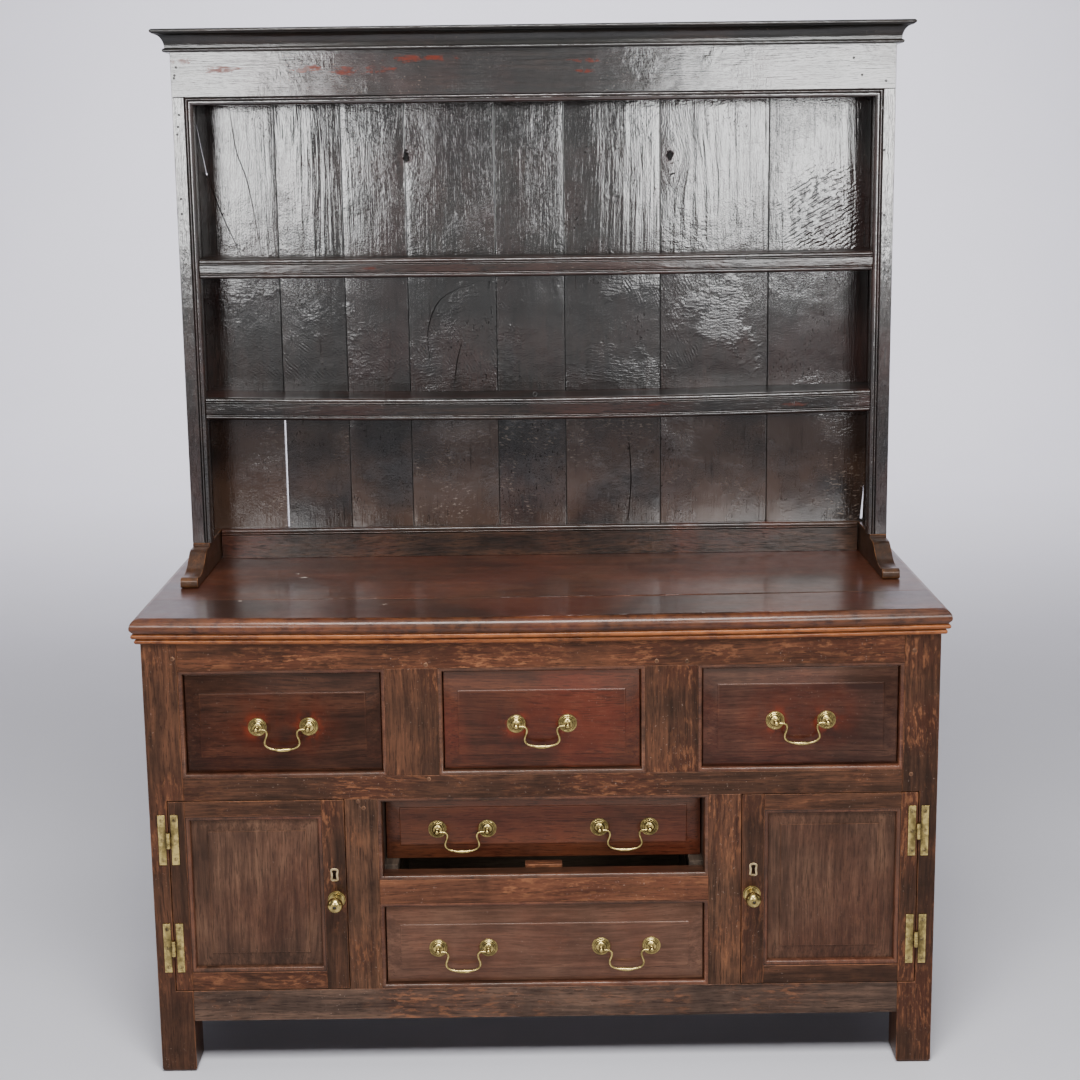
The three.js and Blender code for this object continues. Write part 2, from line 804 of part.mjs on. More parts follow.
// Rack: a side board with a beaded stile on its front
function rackUpright(side) {
  const foot = rackFoot + footHeight + seam;
  const beads = beadedEdgeShares.map(([across, deep]) => [
    side * (halfRack - stileFlat - across * stileBead), rackFront + deep * stileBeadDepth,
  ]);
  const stile = drawnOut(
    [[side * halfRack, rackFront], ...beads, [side * stileInner, stileBack], [side * halfRack, stileBack]],
    axisX, axisY, foot, friezeFoot - seam,
  );
  const back = rackBackFace - seam;
  return join(
    stile,
    sideBlock(side, rackSideInner, halfRack, stileBack - overrun, back, foot, friezeFoot - seam),
    sideBlock(side, rackSideInner, halfRack, stileBack + seam, back, foot, rackHead),
  );
}

// The sledge foot under each side: a neck, an ogee and a rounded nose
function rackFootPiece(side) {
  const nose = rackFront - footReach;
  const cove = [nose + footNoseLength, rackFoot + footNoseHeight - footCoveDip];
  const crest = [rackFront - footNeckStep, rackFoot + footHeight - footNeckHeight];
  const length = crest[0] - cove[0];
  const ogee = new THREE.CubicBezierCurve(
    new THREE.Vector2(...cove),
    new THREE.Vector2(cove[0] + length * footStartShare, cove[1]),
    new THREE.Vector2(crest[0] - length * footEndShare, crest[1]),
    new THREE.Vector2(...crest),
  );
  const outline = [
    [rackBackFace - seam, rackFoot],
    [nose + footNoseRadius / 2, rackFoot],
    [nose, rackFoot + footNoseRadius / 2],
    ...arc(
      nose + footNoseRadius, rackFoot + footNoseHeight - footNoseRadius,
      footNoseRadius, footNoseRadius, 180, 90,
    ),
    [nose + footNoseLength, rackFoot + footNoseHeight],
    ...ogee.getPoints(curveSteps * 2).map((point) => [point.x, point.y]),
    [rackFront, crest[1]],
    [rackFront, rackFoot + footHeight],
    [rackBackFace - seam, rackFoot + footHeight],
  ];
  const [x0, x1] = ordered(side * (halfRack - footWidth), side * halfRack);
  return drawnOut(outline, axisY, axisZ, x0, x1);
}

function rackTop() {
  const half = rackSideInner - seam;
  return block(-half, half, stileBack + seam, rackBackFace - seam, rackHead - rackTopThickness, rackHead);
}

// The frieze covers the heads of the stiles, and its beaded lower edge hangs between them
function frieze() {
  const beads = beadedEdgeShares.map(([down, deep]) => [
    rackFront + deep * stileBeadDepth, friezeFoot - down * friezeBead,
  ]);
  const half = stileInner - seam;
  return join(
    block(-halfRack, halfRack, rackFront, stileBack, friezeFoot, rackHead),
    drawnOut(
      [[rackFront, friezeFoot + overrun], ...beads, [stileBack, friezeFoot - friezeBead],
        [stileBack, friezeFoot + overrun]],
      axisY, axisZ, -half, half,
    ),
  );
}

// Cornice: an astragal, a deep cove and a thin rounded fillet
function cornice() {
  const foot = rackHead - corniceHeight;
  const radius = corniceAstragal / 2;
  const filletFoot = rackHead - corniceFillet;
  const coveReach = corniceReach - corniceFilletReach;
  const coveFoot = foot + corniceAstragal;
  const profile = [
    [0, foot],
    ...arc(corniceAstragalReach - radius, foot + radius, radius, radius, -90, 90),
    ...arc(coveReach, coveFoot, coveReach - corniceAstragalReach + radius, filletFoot - coveFoot, 180, 90),
    [corniceReach, filletFoot + corniceFilletReach],
    [corniceReach, rackHead],
    [0, rackHead],
  ];
  return wrapped(profile, halfRack + seam, rackFront - seam, topBack);
}

// A shelf and the beaded fascia along its front, both sagging a little in the middle
function shelf(height, fasciaHeight, sag) {
  const head = topSurface + height;
  const foot = head - fasciaHeight;
  const back = rackFront + fasciaThickness;
  const boardHead = head - shelfDrop;
  const edge = (place) => beadedEdgeShares.map(([across, deep]) => [
    rackFront + deep * stileBeadDepth, place((1 - across) * fasciaBead),
  ]);
  const outline = [
    [back, foot],
    ...edge((inwards) => foot + inwards).reverse(),
    ...edge((inwards) => head - inwards),
    [back, head],
    [back, boardHead],
    [rackBackFace - seam, boardHead],
    [rackBackFace - seam, boardHead - shelfThickness],
    [back, boardHead - shelfThickness],
  ];
  const half = rackSideInner - seam;
  const board = drawnOut(outline, axisY, axisZ, -half, half, sagSteps);
  const position = board.attributes.position;
  for (let i = 0; i < position.count; i += 1) {
    const across = position.getX(i) / half;
    position.setZ(i, position.getZ(i) - sag * (1 - across * across));
  }
  const notches = [-1, 1].map((side) => sideBlock(
    side, stileInner - seam, half + overrun, rackFront - overrun, stileBack + seam,
    foot - sag - overrun, head + overrun,
  ));
  return cut(board, ...notches);
}

// The rail that stands on the base between the feet, with a bead along its top
function splashRail() {
  const front = rackBackFace - seam - splashThickness;
  const head = rackFoot + splashHeight;
  const beads = beadedEdgeShares.map(([across, deep]) => [
    front + deep * stileBeadDepth, head - (1 - across) * splashBead,
  ]);
  const half = halfRack - footWidth - splashGap;
  const outline = [
    [front, rackFoot], ...beads, [rackBackFace - seam, head], [rackBackFace - seam, rackFoot],
  ];
  return drawnOut(outline, axisY, axisZ, -half, half);
}

// Eight upright boards close the back, with an open joint between the first two in the lowest bay
function rackBack() {
  const joints = [];
  boardWidthShares.slice(0, -1).reduce((x, share) => {
    joints.push(x + share * halfRack * 2);
    return joints.at(-1);
  }, -halfRack);
  const strip = (x, width, back, foot, head) => (
    block(x - width / 2, x + width / 2, rackBackFace - overrun, back, foot, head)
  );
  const grooveBack = rackBackFace + boardGrooveDepth;
  const grooves = joints.map((x) => (
    strip(x, boardGrooveWidth, grooveBack, rackFoot - overrun, rackHead + overrun)
  ));
  const slitHead = topSurface + lowerShelfHeight - lowerFasciaHeight;
  const slit = strip(joints[0], boardSlitWidth, topBack + overrun, rackFoot + splashHeight, slitHead);
  return cut(block(-halfRack, halfRack, rackBackFace, topBack, rackFoot, rackHead), ...grooves, slit);
}

// Base
addPair('front_post', frontPost, redOak);
addPair('back_post', backPost, redOak);
addPiece('top_rail', topRail(), redOak);
addPiece('middle_rail', middleRail(), redOak);
addPiece('bottom_rail', bottomRail(), redOak);
addPiece('drawer_rail', drawerRail(), redOak);
addPair('upper_muntin', upperMuntin, redOak);
addPair('lower_muntin', lowerMuntin, redOak);
addPair('end_panel', endPanel, redOak);
addPiece('base_back', baseBack(), innerOak);
addPiece('cupboard_floor', innerBoard(doorFoot - floorThickness, doorFoot), innerOak);
addPair('partition', partition, innerOak);
addPiece('drawer_deck', drawerDeck(), innerOak);
const boardJoint = -topFrontOverhang + frontBoardWidth;
addPiece('top_board_front', topBoard(-topFrontOverhang - overrun, boardJoint), topOak);
addPiece('top_board_back', topBoard(boardJoint + seam, topBack + overrun), topOak);
addPiece('top_moulding', topMoulding(), redOak);

// Doors with their panels, knobs and hinges
addPair('door_frame', doorFrame, redOak);
addPair('door_panel', doorPanel, redOak);
addPair('knob', knob, brass);
Object.entries(hingeHeights).forEach(([level, z]) => {
  addPair(`${level}_hinge_post_leaf`, (side) => postLeaf(side, z), brass);
  addPair(`${level}_hinge_door_leaf`, (side) => doorLeaf(side, z), brass);
});

// Drawers with their bails
Object.entries(drawers).forEach(([name, place]) => {
  addPiece(`drawer_${name}`, drawer(place), redOak);
  handlePlaces(place).forEach((handle, i, all) => {
    const hand = all.length === 1 ? '' : ['_left', '_right'][i];
    addPiece(`bail_${name}${hand}`, bail(handle), brass);
  });
});

// Rack
addPair('rack_foot', rackFootPiece, darkOak);
addPair('rack_upright', rackUpright, darkOak);
addPiece('rack_top', rackTop(), darkOak);
addPiece('frieze', frieze(), darkOak);
addPiece('cornice', cornice(), darkOak);
addPiece('upper_shelf', shelf(upperShelfHeight, upperFasciaHeight, upperShelfSag), darkOak);
addPiece('lower_shelf', shelf(lowerShelfHeight, lowerFasciaHeight, lowerShelfSag), darkOak);
addPiece('splash_rail', splashRail(), darkOak);
addPiece('rack_back', rackBack(), darkOak);

dresser.position.y = (Math.max(knobReach, topFrontOverhang) - topBack) / 2;

export default dresser;
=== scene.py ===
"""An old oak dresser, dressed round its frame: an open plate rack on a base of drawers and cupboards.

Lengths are metres on the frame's own axes: X to the right, Y to the back and Z up from the floor.
"""

import json
import logging
import math
import zlib
from dataclasses import dataclass, field, replace
from enum import Enum
from typing import Callable, Iterable, Sequence

import bmesh
import bpy
from mathutils import Matrix, Vector

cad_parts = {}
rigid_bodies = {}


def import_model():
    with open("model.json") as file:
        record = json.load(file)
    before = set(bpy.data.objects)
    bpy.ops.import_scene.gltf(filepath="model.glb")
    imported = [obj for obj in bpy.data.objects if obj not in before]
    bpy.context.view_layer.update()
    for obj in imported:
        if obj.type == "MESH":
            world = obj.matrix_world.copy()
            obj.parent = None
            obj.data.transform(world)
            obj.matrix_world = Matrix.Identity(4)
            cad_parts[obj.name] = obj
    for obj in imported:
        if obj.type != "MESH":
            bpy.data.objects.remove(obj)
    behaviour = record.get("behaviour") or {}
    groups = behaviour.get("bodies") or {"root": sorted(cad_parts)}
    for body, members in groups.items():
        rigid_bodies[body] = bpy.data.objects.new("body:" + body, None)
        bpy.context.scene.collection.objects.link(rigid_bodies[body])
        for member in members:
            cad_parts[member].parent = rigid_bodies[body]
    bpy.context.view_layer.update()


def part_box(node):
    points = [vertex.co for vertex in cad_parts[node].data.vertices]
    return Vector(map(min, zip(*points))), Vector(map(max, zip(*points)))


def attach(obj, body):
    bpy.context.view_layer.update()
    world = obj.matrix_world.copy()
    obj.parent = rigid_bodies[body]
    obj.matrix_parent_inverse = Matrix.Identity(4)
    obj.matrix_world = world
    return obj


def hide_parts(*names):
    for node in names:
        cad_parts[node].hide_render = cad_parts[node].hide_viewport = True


Point = tuple[float, float]
Place = tuple[float, float, float]
Ring = list[Place]
Outline = Sequence[Point]
Opening = tuple[float, float, float, float]
Colour = tuple[float, float, float]
Dip = Callable[[float], float]
Piece = bpy.types.Object
Socket = bpy.types.NodeSocket

CARCASE = "carcase"
SIDES = {"left": -1, "right": 1}
SMOOTH_ANGLE = math.radians(38)
SHARP_ANGLE = math.radians(25)
STEEP_ANGLE = math.radians(50)
THUMB_ANGLE = math.radians(60)
FLAT_ANGLE = math.radians(2)
MERGE = 1e-6
NODE_MERGE = 1e-5
KEY_DIGITS = 6

log = logging.getLogger("dresser")


class Grain(Enum):
    """The axis that the grain of a board runs along."""

    ALONG_X = 0
    ALONG_Y = 1
    ALONG_Z = 2


class Slot(Enum):
    """The finishes that the record names."""

    FRAME = "red_oak"
    DRAWER = "drawer_oak"
    TOP = "top_oak"
    RACK = "dark_oak"
    INSIDE = "inner_oak"
    BRASS = "brass"


class Graph:
    """Adds and joins the shader nodes of one material."""

    def __init__(self, name: str) -> None:
        """Start a material whose only node is its shader.

        Args:
            name: The material's name.
        """
        self.material = bpy.data.materials.new(name)
        self.material.use_nodes = True
        self.tree = self.material.node_tree
        self.shader = self.tree.nodes["Principled BSDF"]

    def feed(self, socket: Socket, value: object) -> None:
        """Join a socket to another socket, or set it to a constant.

        Args:
            socket: The input to feed.
            value: Another node's output, or a constant.
        """
        if isinstance(value, bpy.types.NodeSocket):
            self.tree.links.new(value, socket)
        else:
            socket.default_value = value

    def finished(self, values: dict[str, object]) -> bpy.types.Material:
        """Feed the shader and end the material.

        Args:
            values: Values or sockets, by the name of the shader's input.

        Returns:
            The material.
        """
        for name, value in values.items():
            self.feed(self.shader.inputs[name], value)
        return self.material

    def node(self, kind: str, inputs: dict, out: int = 0, **settings: object) -> Socket:
        """Add a node.

        Args:
            kind: The node's type, without its common prefix.
            inputs: Values or sockets, by the input's name or number.
            out: The number of the output wanted.
            **settings: Properties of the node.

        Returns:
            The output socket.
        """
        made = self.tree.nodes.new(f"ShaderNode{kind}")
        for name, value in settings.items():
            setattr(made, name, value)
        for name, value in inputs.items():
            self.feed(made.inputs[name], value)
        return made.outputs[out]

    def calc(self, operation: str, *values: object, clamp: bool = False) -> Socket:
        """Combine numbers by one operation of the Math node."""
        return self.node("Math", dict(enumerate(values)), operation=operation, use_clamp=clamp)

    def times(self, a: object, b: object) -> Socket:
        """Multiply two numbers."""
        return self.calc("MULTIPLY", a, b)

    def fused(self, a: object, b: object, c: object) -> Socket:
        """Multiply two numbers and add a third."""
        return self.calc("MULTIPLY_ADD", a, b, c)

    def minus(self, a: object, b: object) -> Socket:
        """Take one number from another."""
        return self.calc("SUBTRACT", a, b)

    def most(self, a: object, b: object) -> Socket:
        """Keep the larger of two numbers."""
        return self.calc("MAXIMUM", a, b)

    def vector(self, operation: str, *values: object, out: int = 0) -> Socket:
        """Combine vectors by one operation of the Vector Math node."""
        return self.node("VectorMath", dict(enumerate(values)), out, operation=operation)

    def distance(self, a: object, b: object) -> Socket:
        """Measure from one place to another."""
        return self.vector("DISTANCE", a, b, out=1)

    def place(self) -> Socket:
        """Read a place on the piece in the frame's own axes."""
        return self.node("TexCoord", {}, 3)

    def axis(self, place: object, axis: int) -> Socket:
        """Read a place along one axis."""
        return self.node("SeparateXYZ", {0: place}, axis)

    def step(self, value: object, low: float, high: float) -> Socket:
        """Rise smoothly from 0 at low to 1 at high."""
        return self.node("MapRange", {0: value, 1: low, 2: high}, interpolation_type="SMOOTHSTEP")

    def noise(
        self, vector: object, scale: float, detail: float = 3.0, rough: float = 0.55, out: int = 0
    ) -> Socket:
        """Add a noise pattern and return its value, or its colour for output 1."""
        inputs = {"Vector": vector, "Scale": scale, "Detail": detail, "Roughness": rough}
        return self.node("TexNoise", inputs, out)

    def stretched(self, vector: object, grain: Grain, along: float, across: float) -> Socket:
        """Scale a pattern by one number along the grain and another across it."""
        factors = tuple(along if axis == grain.value else across for axis in range(3))
        return self.vector("MULTIPLY", vector, factors)

    def blend(self, share: object, a: object, b: object) -> Socket:
        """Mix two colours."""
        return self.node("Mix", {0: share, 6: full(a), 7: full(b)}, 2, data_type="RGBA")

    def ramp(self, value: object, stops: Sequence[tuple[float, Colour]]) -> Socket:
        """Turn a value into a colour.

        Args:
            value: The value.
            stops: Two or more places on the ramp with the colour at each.

        Returns:
            The colour.
        """
        made = self.tree.nodes.new("ShaderNodeValToRGB")
        elements = made.color_ramp.elements
        while len(elements) < len(stops):
            elements.new(1.0)
        for element, (where, colour) in zip(elements, stops):
            element.position = where
            element.color = full(colour)
        self.feed(made.inputs[0], value)
        return made.outputs[0]

    def attribute(self, name: str) -> Socket:
        """Read a number that the mesh carries."""
        return self.node("Attribute", {}, 2, attribute_name=name)

    def bump(self, distance: float, height: object) -> Socket:
        """Turn a height into a bent normal."""
        return self.node("Bump", {"Strength": 1.0, "Distance": distance, "Height": height})

    def near(self, place: object, points: Sequence[Place], inner: float, outer: float) -> Socket:
        """Fall from 1 to 0 round the nearest of some points.

        Args:
            place: The place on the piece.
            points: The points.
            inner: The distance up to which the share is 1.
            outer: The distance from which it is 0.

        Returns:
            The share.
        """
        nearest = self.distance(place, points[0])
        for point in points[1:]:
            nearest = self.calc("MINIMUM", nearest, self.distance(place, point))
        return self.minus(1.0, self.step(nearest, inner, outer))


def full(colour: object) -> object:
    """Give a constant colour its alpha, and leave a socket as it is."""
    return (*colour, 1.0) if isinstance(colour, tuple) and len(colour) == 3 else colour


def darker(colour: Colour, share: float) -> Colour:
    """Scale a colour towards black."""
    return tuple(channel * share for channel in colour)


@dataclass(frozen=True)
class Pattern:
    """The patterns that one finish of oak is drawn from."""

    graph: Graph
    grain: Grain
    place: Socket
    board: Socket
    spread: Socket
    flow: Socket
    streaks: Socket
    scuffs: Socket

    def along(self, along: float, across: float, detail: float = 3.0, rough: float = 0.55) -> Socket:
        """Draw noise that is stretched along the grain."""
        stretched = self.graph.stretched(self.flow, self.grain, along, across)
        return self.graph.noise(stretched, 1.0, detail, rough)

    def spots(self, scale: float, detail: float = 3.0, rough: float = 0.55) -> Socket:
        """Draw noise that is as long as it is wide."""
        return self.graph.noise(self.spread, scale, detail, rough)

    def patches(
        self, scale: float, low: float, high: float, detail: float = 3.0, rough: float = 0.55
    ) -> Socket:
        """Draw patches where such noise rises from low to high."""
        return self.graph.step(self.spots(scale, detail, rough), low, high)

    def streaked(self, colour: Colour) -> Socket:
        """Draw one colour in darker and lighter streaks."""
        return self.graph.blend(self.graph.step(self.streaks, 0.35, 0.65), darker(colour, 0.5), colour)


@dataclass
class Coat:
    """What a finish has come to so far, and where it is rubbed, grimy and darkened with painted shade, or has
    lost its polish.
    """

    colour: object
    height: object
    rubbed: object
    grime: object
    gone: object


@dataclass(frozen=True)
class Oak:
    """A finish of old oak: its tones, how it has rubbed, its shine and the relief of its grain.

    Attributes:
        name: What the names of its materials start with.
        deep: The darkest tone of the polished wood.
        middle: Its middle tone.
        pale: Its lightest tone.
        worn: The colour where the finish has rubbed off.
        red: The red that comes through in clouds.
        red_share: How strong that red is.
        rub: How far the edges have rubbed.
        patch: How strong the rubbed flecks are.
        gloss: The roughness of the wood.
        shine: How strongly the wood mirrors.
        tint: The colour that it mirrors in.
        polish: The weight of the coat of polish.
        polish_gloss: The roughness of the polish.
        varnish: The refractive index of the polish.
        relief: The depth of the whole relief.
        fibre: The share of the wood's fibres in the relief.
        planed: The share of the plane's hollows.
        torn: The share of torn grain.
        dint: The share of dints.
        bald: How much of the polish has flaked off.
        bald_along: How fine the flaked lines are along the grain.
        bald_across: How fine they are across it.
        bald_from: The level of their pattern at which they start.
        smoked: How far the wood has darkened where the polish has gone.
        stains: Middles and radii of ragged spots: where the dark skin has rubbed away, and on the top pale
            painted glints on dents.
        stain: The colour of those spots.
        stain_reach: How much each axis counts in their distances.
        stain_edge: The level at which their ragged edge starts.
        specks: How strong the pale specks are, which are painted glints where nicks catch the light.
        streak: How fine the streaks are across the grain.
        speck: The colour of those painted glints.
        halo: The red of the wood that is cleaned round the handles.
        halo_wide: Distances over which the wide, dull glow fades.
        halo_close: Distances over which the close, bright glow fades.
        knot_eye: Distances over which the dark eye of a knot fades.
        knot_ring: Distances over which the red round it fades.
        knot_pull: How far round a knot the grain parts.
        knot_tear: How far a knot's outline is torn along each axis.
        knot_height: How much of its height a knot is measured by.
    """

    name: str
    deep: Colour
    middle: Colour
    pale: Colour
    worn: Colour
    red: Colour
    red_share: float = 0.35
    rub: float = 1.0
    patch: float = 0.2
    gloss: float = 0.34
    shine: float = 0.5
    tint: Colour = (1.0, 1.0, 1.0)
    polish: float = 0.35
    polish_gloss: float = 0.16
    varnish: float = 1.5
    relief: float = 0.0005
    fibre: float = 0.5
    planed: float = 0.35
    torn: float = 0.0
    dint: float = 0.0
    bald: float = 0.0
    bald_along: float = 42.0
    bald_across: float = 330.0
    bald_from: float = 0.62
    smoked: float = 0.9
    stains: tuple[tuple[float, float, float, float], ...] = ()
    stain: Colour = (0.05, 0.011, 0.006)
    stain_reach: Place = (0.19, 0.0, 1.0)
    stain_edge: float = 0.38
    specks: float = 0.3
    streak: float = 42.0
    speck: Colour = (0.26, 0.19, 0.15)
    halo: Colour = (0.12, 0.016, 0.005)
    halo_wide: tuple[float, float] = (0.018, 0.085)
    halo_close: tuple[float, float] = (0.015, 0.034)
    knot_eye: tuple[float, float] = (0.0035, 0.0075)
    knot_ring: tuple[float, float] = (0.006, 0.02)
    knot_pull: float = 0.062
    knot_tear: Place = (0.013, 0.0, 0.013)
    knot_height: float = 0.6

    def material(
        self, grain: Grain, halos: Sequence[Place] = (), knots: Sequence[Place] = ()
    ) -> bpy.types.Material:
        """Make the finish for boards of one grain, or return it if it is made.

        Args:
            grain: The axis that the grain runs along.
            halos: Places round which the dark polish has been cleaned to a red glow.
            knots: Places of knots.

        Returns:
            The material.
        """
        name = f"{self.name}_{grain.name.lower()}"
        if halos or knots:
            name += f"_{zlib.crc32(repr((halos, knots)).encode())}"
        if name in bpy.data.materials:
            return bpy.data.materials[name]
        graph = Graph(name)
        pattern = self.pattern(graph, grain, knots)
        rubbed = self.rubbing(pattern)
        grime = graph.calc("MULTIPLY", graph.attribute("grime"), 0.8, clamp=True)
        gone = graph.most(self.lost_polish(pattern), grime)
        colour = graph.blend(rubbed, self.tones(pattern), pattern.streaked(self.worn))
        if halos:
            colour = self.cleaned(pattern, colour, halos)
        # Painted glints: sparse pale specks where nicks would catch the light.
        specks = graph.times(pattern.patches(230.0, 0.68, 0.73, 2.0), pattern.patches(5.0, 0.42, 0.6))
        colour = graph.blend(graph.times(specks, self.specks), colour, self.speck)
        # Painted shade with the grime: hollows and inner edges are darkened towards the deepest tone.
        colour = graph.blend(grime, colour, darker(self.deep, 0.3))
        coat = Coat(colour, self.height(pattern), rubbed, grime, gone)
        if knots:
            self.knotted(pattern, coat, knots)
        self.marked(pattern, coat)
        if self.bald:
            coat.colour = graph.blend(graph.times(coat.gone, self.smoked), coat.colour, self.deep)
        # Ragged spots: bare wood where the dark skin has rubbed away, and on the top pale painted glints on
        # dents.
        if self.stains:
            bare = self.stained(pattern)
            coat.colour = graph.blend(bare, coat.colour, self.stain)
            coat.gone = graph.most(coat.gone, graph.times(bare, 0.85))
        return graph.finished(self.surface(pattern, coat))

    def squeezed(self, graph: Graph, place: object) -> Socket:
        """Shorten a place along Z and tear it a little, so that what is round there is tall and ragged.

        Args:
            graph: The material's nodes.
            place: The place on the piece.

        Returns:
            The shortened place.
        """
        torn = graph.noise(place, 150.0, 3.0, 0.6, 1)
        torn = graph.vector("SUBTRACT", torn, (0.5, 0.5, 0.5))
        place = graph.vector("MULTIPLY_ADD", torn, self.knot_tear, place)
        return graph.vector("MULTIPLY", place, (1.0, 0.0, self.knot_height))

    def flattened(self, points: Sequence[Place]) -> list[Place]:
        """Shorten constant places in the same way."""
        return [(x, 0.0, z * self.knot_height) for x, _, z in points]

    def pattern(self, graph: Graph, grain: Grain, knots: Sequence[Place]) -> Pattern:
        """Lay out the patterns, with the grain parting round each knot.

        Args:
            graph: The material's nodes.
            grain: The axis that the grain runs along.
            knots: Places of knots.

        Returns:
            The patterns.
        """
        place = graph.place()
        board = graph.attribute("board")
        spread = graph.vector("MULTIPLY_ADD", board, (37.0, 53.0, 71.0), place)
        sway = graph.noise(graph.stretched(spread, grain, 1.2, 4.0), 1.0, 2.0, 0.5, 1)
        flow = graph.vector("MULTIPLY_ADD", sway, (0.07, 0.07, 0.07), spread)
        for knot in knots:
            pull = graph.near(self.squeezed(graph, place), self.flattened([knot]), 0.0, self.knot_pull)
            away = graph.vector("MULTIPLY", graph.vector("SUBTRACT", place, knot), (-0.85, 0.0, 0.0))
            away = graph.node("VectorMath", {0: away, 3: pull}, operation="SCALE")
            flow = graph.vector("ADD", flow, away)
        streaks = graph.noise(graph.stretched(flow, grain, 2.2, self.streak), 1.0, 6.0, 0.66)
        scuffs = graph.noise(spread, 34.0, 5.0, 0.7)
        return Pattern(graph, grain, place, board, spread, flow, streaks, scuffs)

    def tones(self, pattern: Pattern) -> Socket:
        """Mix the colour of the polished wood before any wear.

        Args:
            pattern: The patterns.

        Returns:
            The colour.
        """
        graph = pattern.graph
        bands = pattern.along(0.8, 11.0)
        pores = pattern.along(26.0, 430.0, 3.0, 0.65)
        fine = pattern.along(9.0, 170.0, 5.0, 0.7)
        blotch = pattern.spots(6.0, 5.0, 0.68)
        tone = graph.fused(pattern.streaks, 0.26, graph.times(bands, 0.16))
        tone = graph.fused(fine, 0.28, graph.fused(blotch, 0.3, tone))
        tone = graph.fused(pattern.board, 0.03, graph.minus(tone, 0.015))
        colour = graph.ramp(tone, [(0.42, self.deep), (0.5, self.middle), (0.59, self.pale)])
        redness = graph.times(pattern.patches(4.5, 0.42, 0.66, 4.0), self.red_share)
        colour = graph.blend(redness, colour, self.red)
        return graph.blend(graph.times(graph.step(pores, 0.53, 0.64), 0.75), colour, self.deep)

    def rubbing(self, pattern: Pattern) -> Socket:
        """Find how far the finish has rubbed off: on edges, and in flecks that lie in patches.

        Args:
            pattern: The patterns.

        Returns:
            The share that has gone.
        """
        graph = pattern.graph
        worn = graph.times(graph.attribute("wear"), self.rub)
        worn = graph.times(worn, graph.step(pattern.scuffs, 0.34, 0.58))
        patches = graph.times(pattern.patches(4.5, 0.42, 0.62, 5.0, 0.65), self.patch)
        flecks = graph.step(pattern.along(38.0, 150.0, 5.0, 0.7), 0.5, 0.62)
        return graph.calc("ADD", worn, graph.times(patches, flecks), clamp=True)

    def cleaned(self, pattern: Pattern, colour: object, halos: Sequence[Place]) -> Socket:
        """Redden the wood round the handles, brightest in broken patches beside the roses.

        Args:
            pattern: The patterns.
            colour: The colour so far.
            halos: The middles of the roses.

        Returns:
            The new colour.
        """
        graph = pattern.graph
        cloud = pattern.spots(26.0, 4.0, 0.6)
        wide = graph.times(graph.near(pattern.place, halos, *self.halo_wide), graph.step(cloud, 0.3, 0.62))
        colour = graph.blend(graph.times(wide, 0.5), colour, darker(self.halo, 0.4))
        close = graph.times(graph.near(pattern.place, halos, *self.halo_close), graph.step(cloud, 0.42, 0.6))
        return graph.blend(graph.times(close, 0.6), colour, self.halo)

    def height(self, pattern: Pattern) -> Socket:
        """Raise the surface's relief: pores, the plane's hollows, dints and torn grain.

        Args:
            pattern: The patterns.

        Returns:
            The height.
        """
        graph = pattern.graph
        height = graph.fused(pattern.along(22.0, 430.0, 2.0), 0.12, graph.times(pattern.streaks, self.fibre))
        height = graph.fused(pattern.spots(13.0, 2.0), self.planed, height)
        if self.dint:
            height = graph.fused(pattern.along(55.0, 130.0, 4.0, 0.6), self.dint, height)
        if self.torn:
            tears = pattern.along(210.0, 75.0, 4.0, 0.6)
            tears = graph.times(tears, pattern.patches(5.5, 0.5, 0.62, 5.0, 0.65))
            height = graph.fused(tears, self.torn, height)
        return height

    def lost_polish(self, pattern: Pattern) -> Socket:
        """Find where the polish has flaked: in fine lines along the grain and in smoky patches.

        Args:
            pattern: The patterns.

        Returns:
            The share that has gone.
        """
        graph = pattern.graph
        lines = pattern.along(self.bald_along, self.bald_across, 5.0, 0.7)
        smoke = pattern.along(4.0, 15.0, 5.0, 0.65)
        lines = graph.step(graph.fused(smoke, 0.3, lines), self.bald_from, self.bald_from + 0.2)
        smoke = graph.times(graph.step(smoke, 0.42, 0.75), 0.35)
        return graph.times(graph.most(lines, smoke), self.bald)

    def stained(self, pattern: Pattern) -> Socket:
        """Find ragged spots long with the grain: where the dark skin has rubbed away, and on the top pale
        painted glints on dents.

        Args:
            pattern: The patterns.

        Returns:
            The share that shows.
        """
        graph = pattern.graph
        reach = self.stain_reach
        place = graph.vector("MULTIPLY", pattern.place, reach)
        share = 0.0
        for x, y, z, radius in self.stains:
            spot = graph.near(place, [(x * reach[0], y * reach[1], z * reach[2])], 0.0, radius * 1.15)
            share = graph.most(share, spot)
        fibres = graph.minus(pattern.along(45.0, 240.0, 5.0, 0.7), 0.5)
        ragged = graph.step(graph.fused(fibres, 2.6, share), self.stain_edge, self.stain_edge + 0.6)
        cloud = graph.times(graph.step(share, 0.0, 0.25), pattern.patches(38.0, 0.36, 0.6, 4.0, 0.65))
        return graph.times(ragged, cloud)

    def knotted(self, pattern: Pattern, coat: Coat, knots: Sequence[Place]) -> None:
        """Sink a dark eye at each knot and redden the wood round it.

        Args:
            pattern: The patterns.
            coat: The finish so far.
            knots: Places of knots.
        """
        graph = pattern.graph
        place, centres = self.squeezed(graph, pattern.place), self.flattened(knots)
        eye = graph.near(place, centres, *self.knot_eye)
        ring = graph.near(place, centres, *self.knot_ring)
        coat.height = graph.fused(eye, -1.4, coat.height)
        coat.colour = graph.blend(graph.times(ring, 0.5), coat.colour, self.red)
        coat.colour = graph.blend(eye, coat.colour, darker(self.deep, 0.3))
        coat.gone = graph.most(coat.gone, eye)

    def marked(self, pattern: Pattern, coat: Coat) -> None:
        """Add what only some boards show. Plain oak has nothing more."""

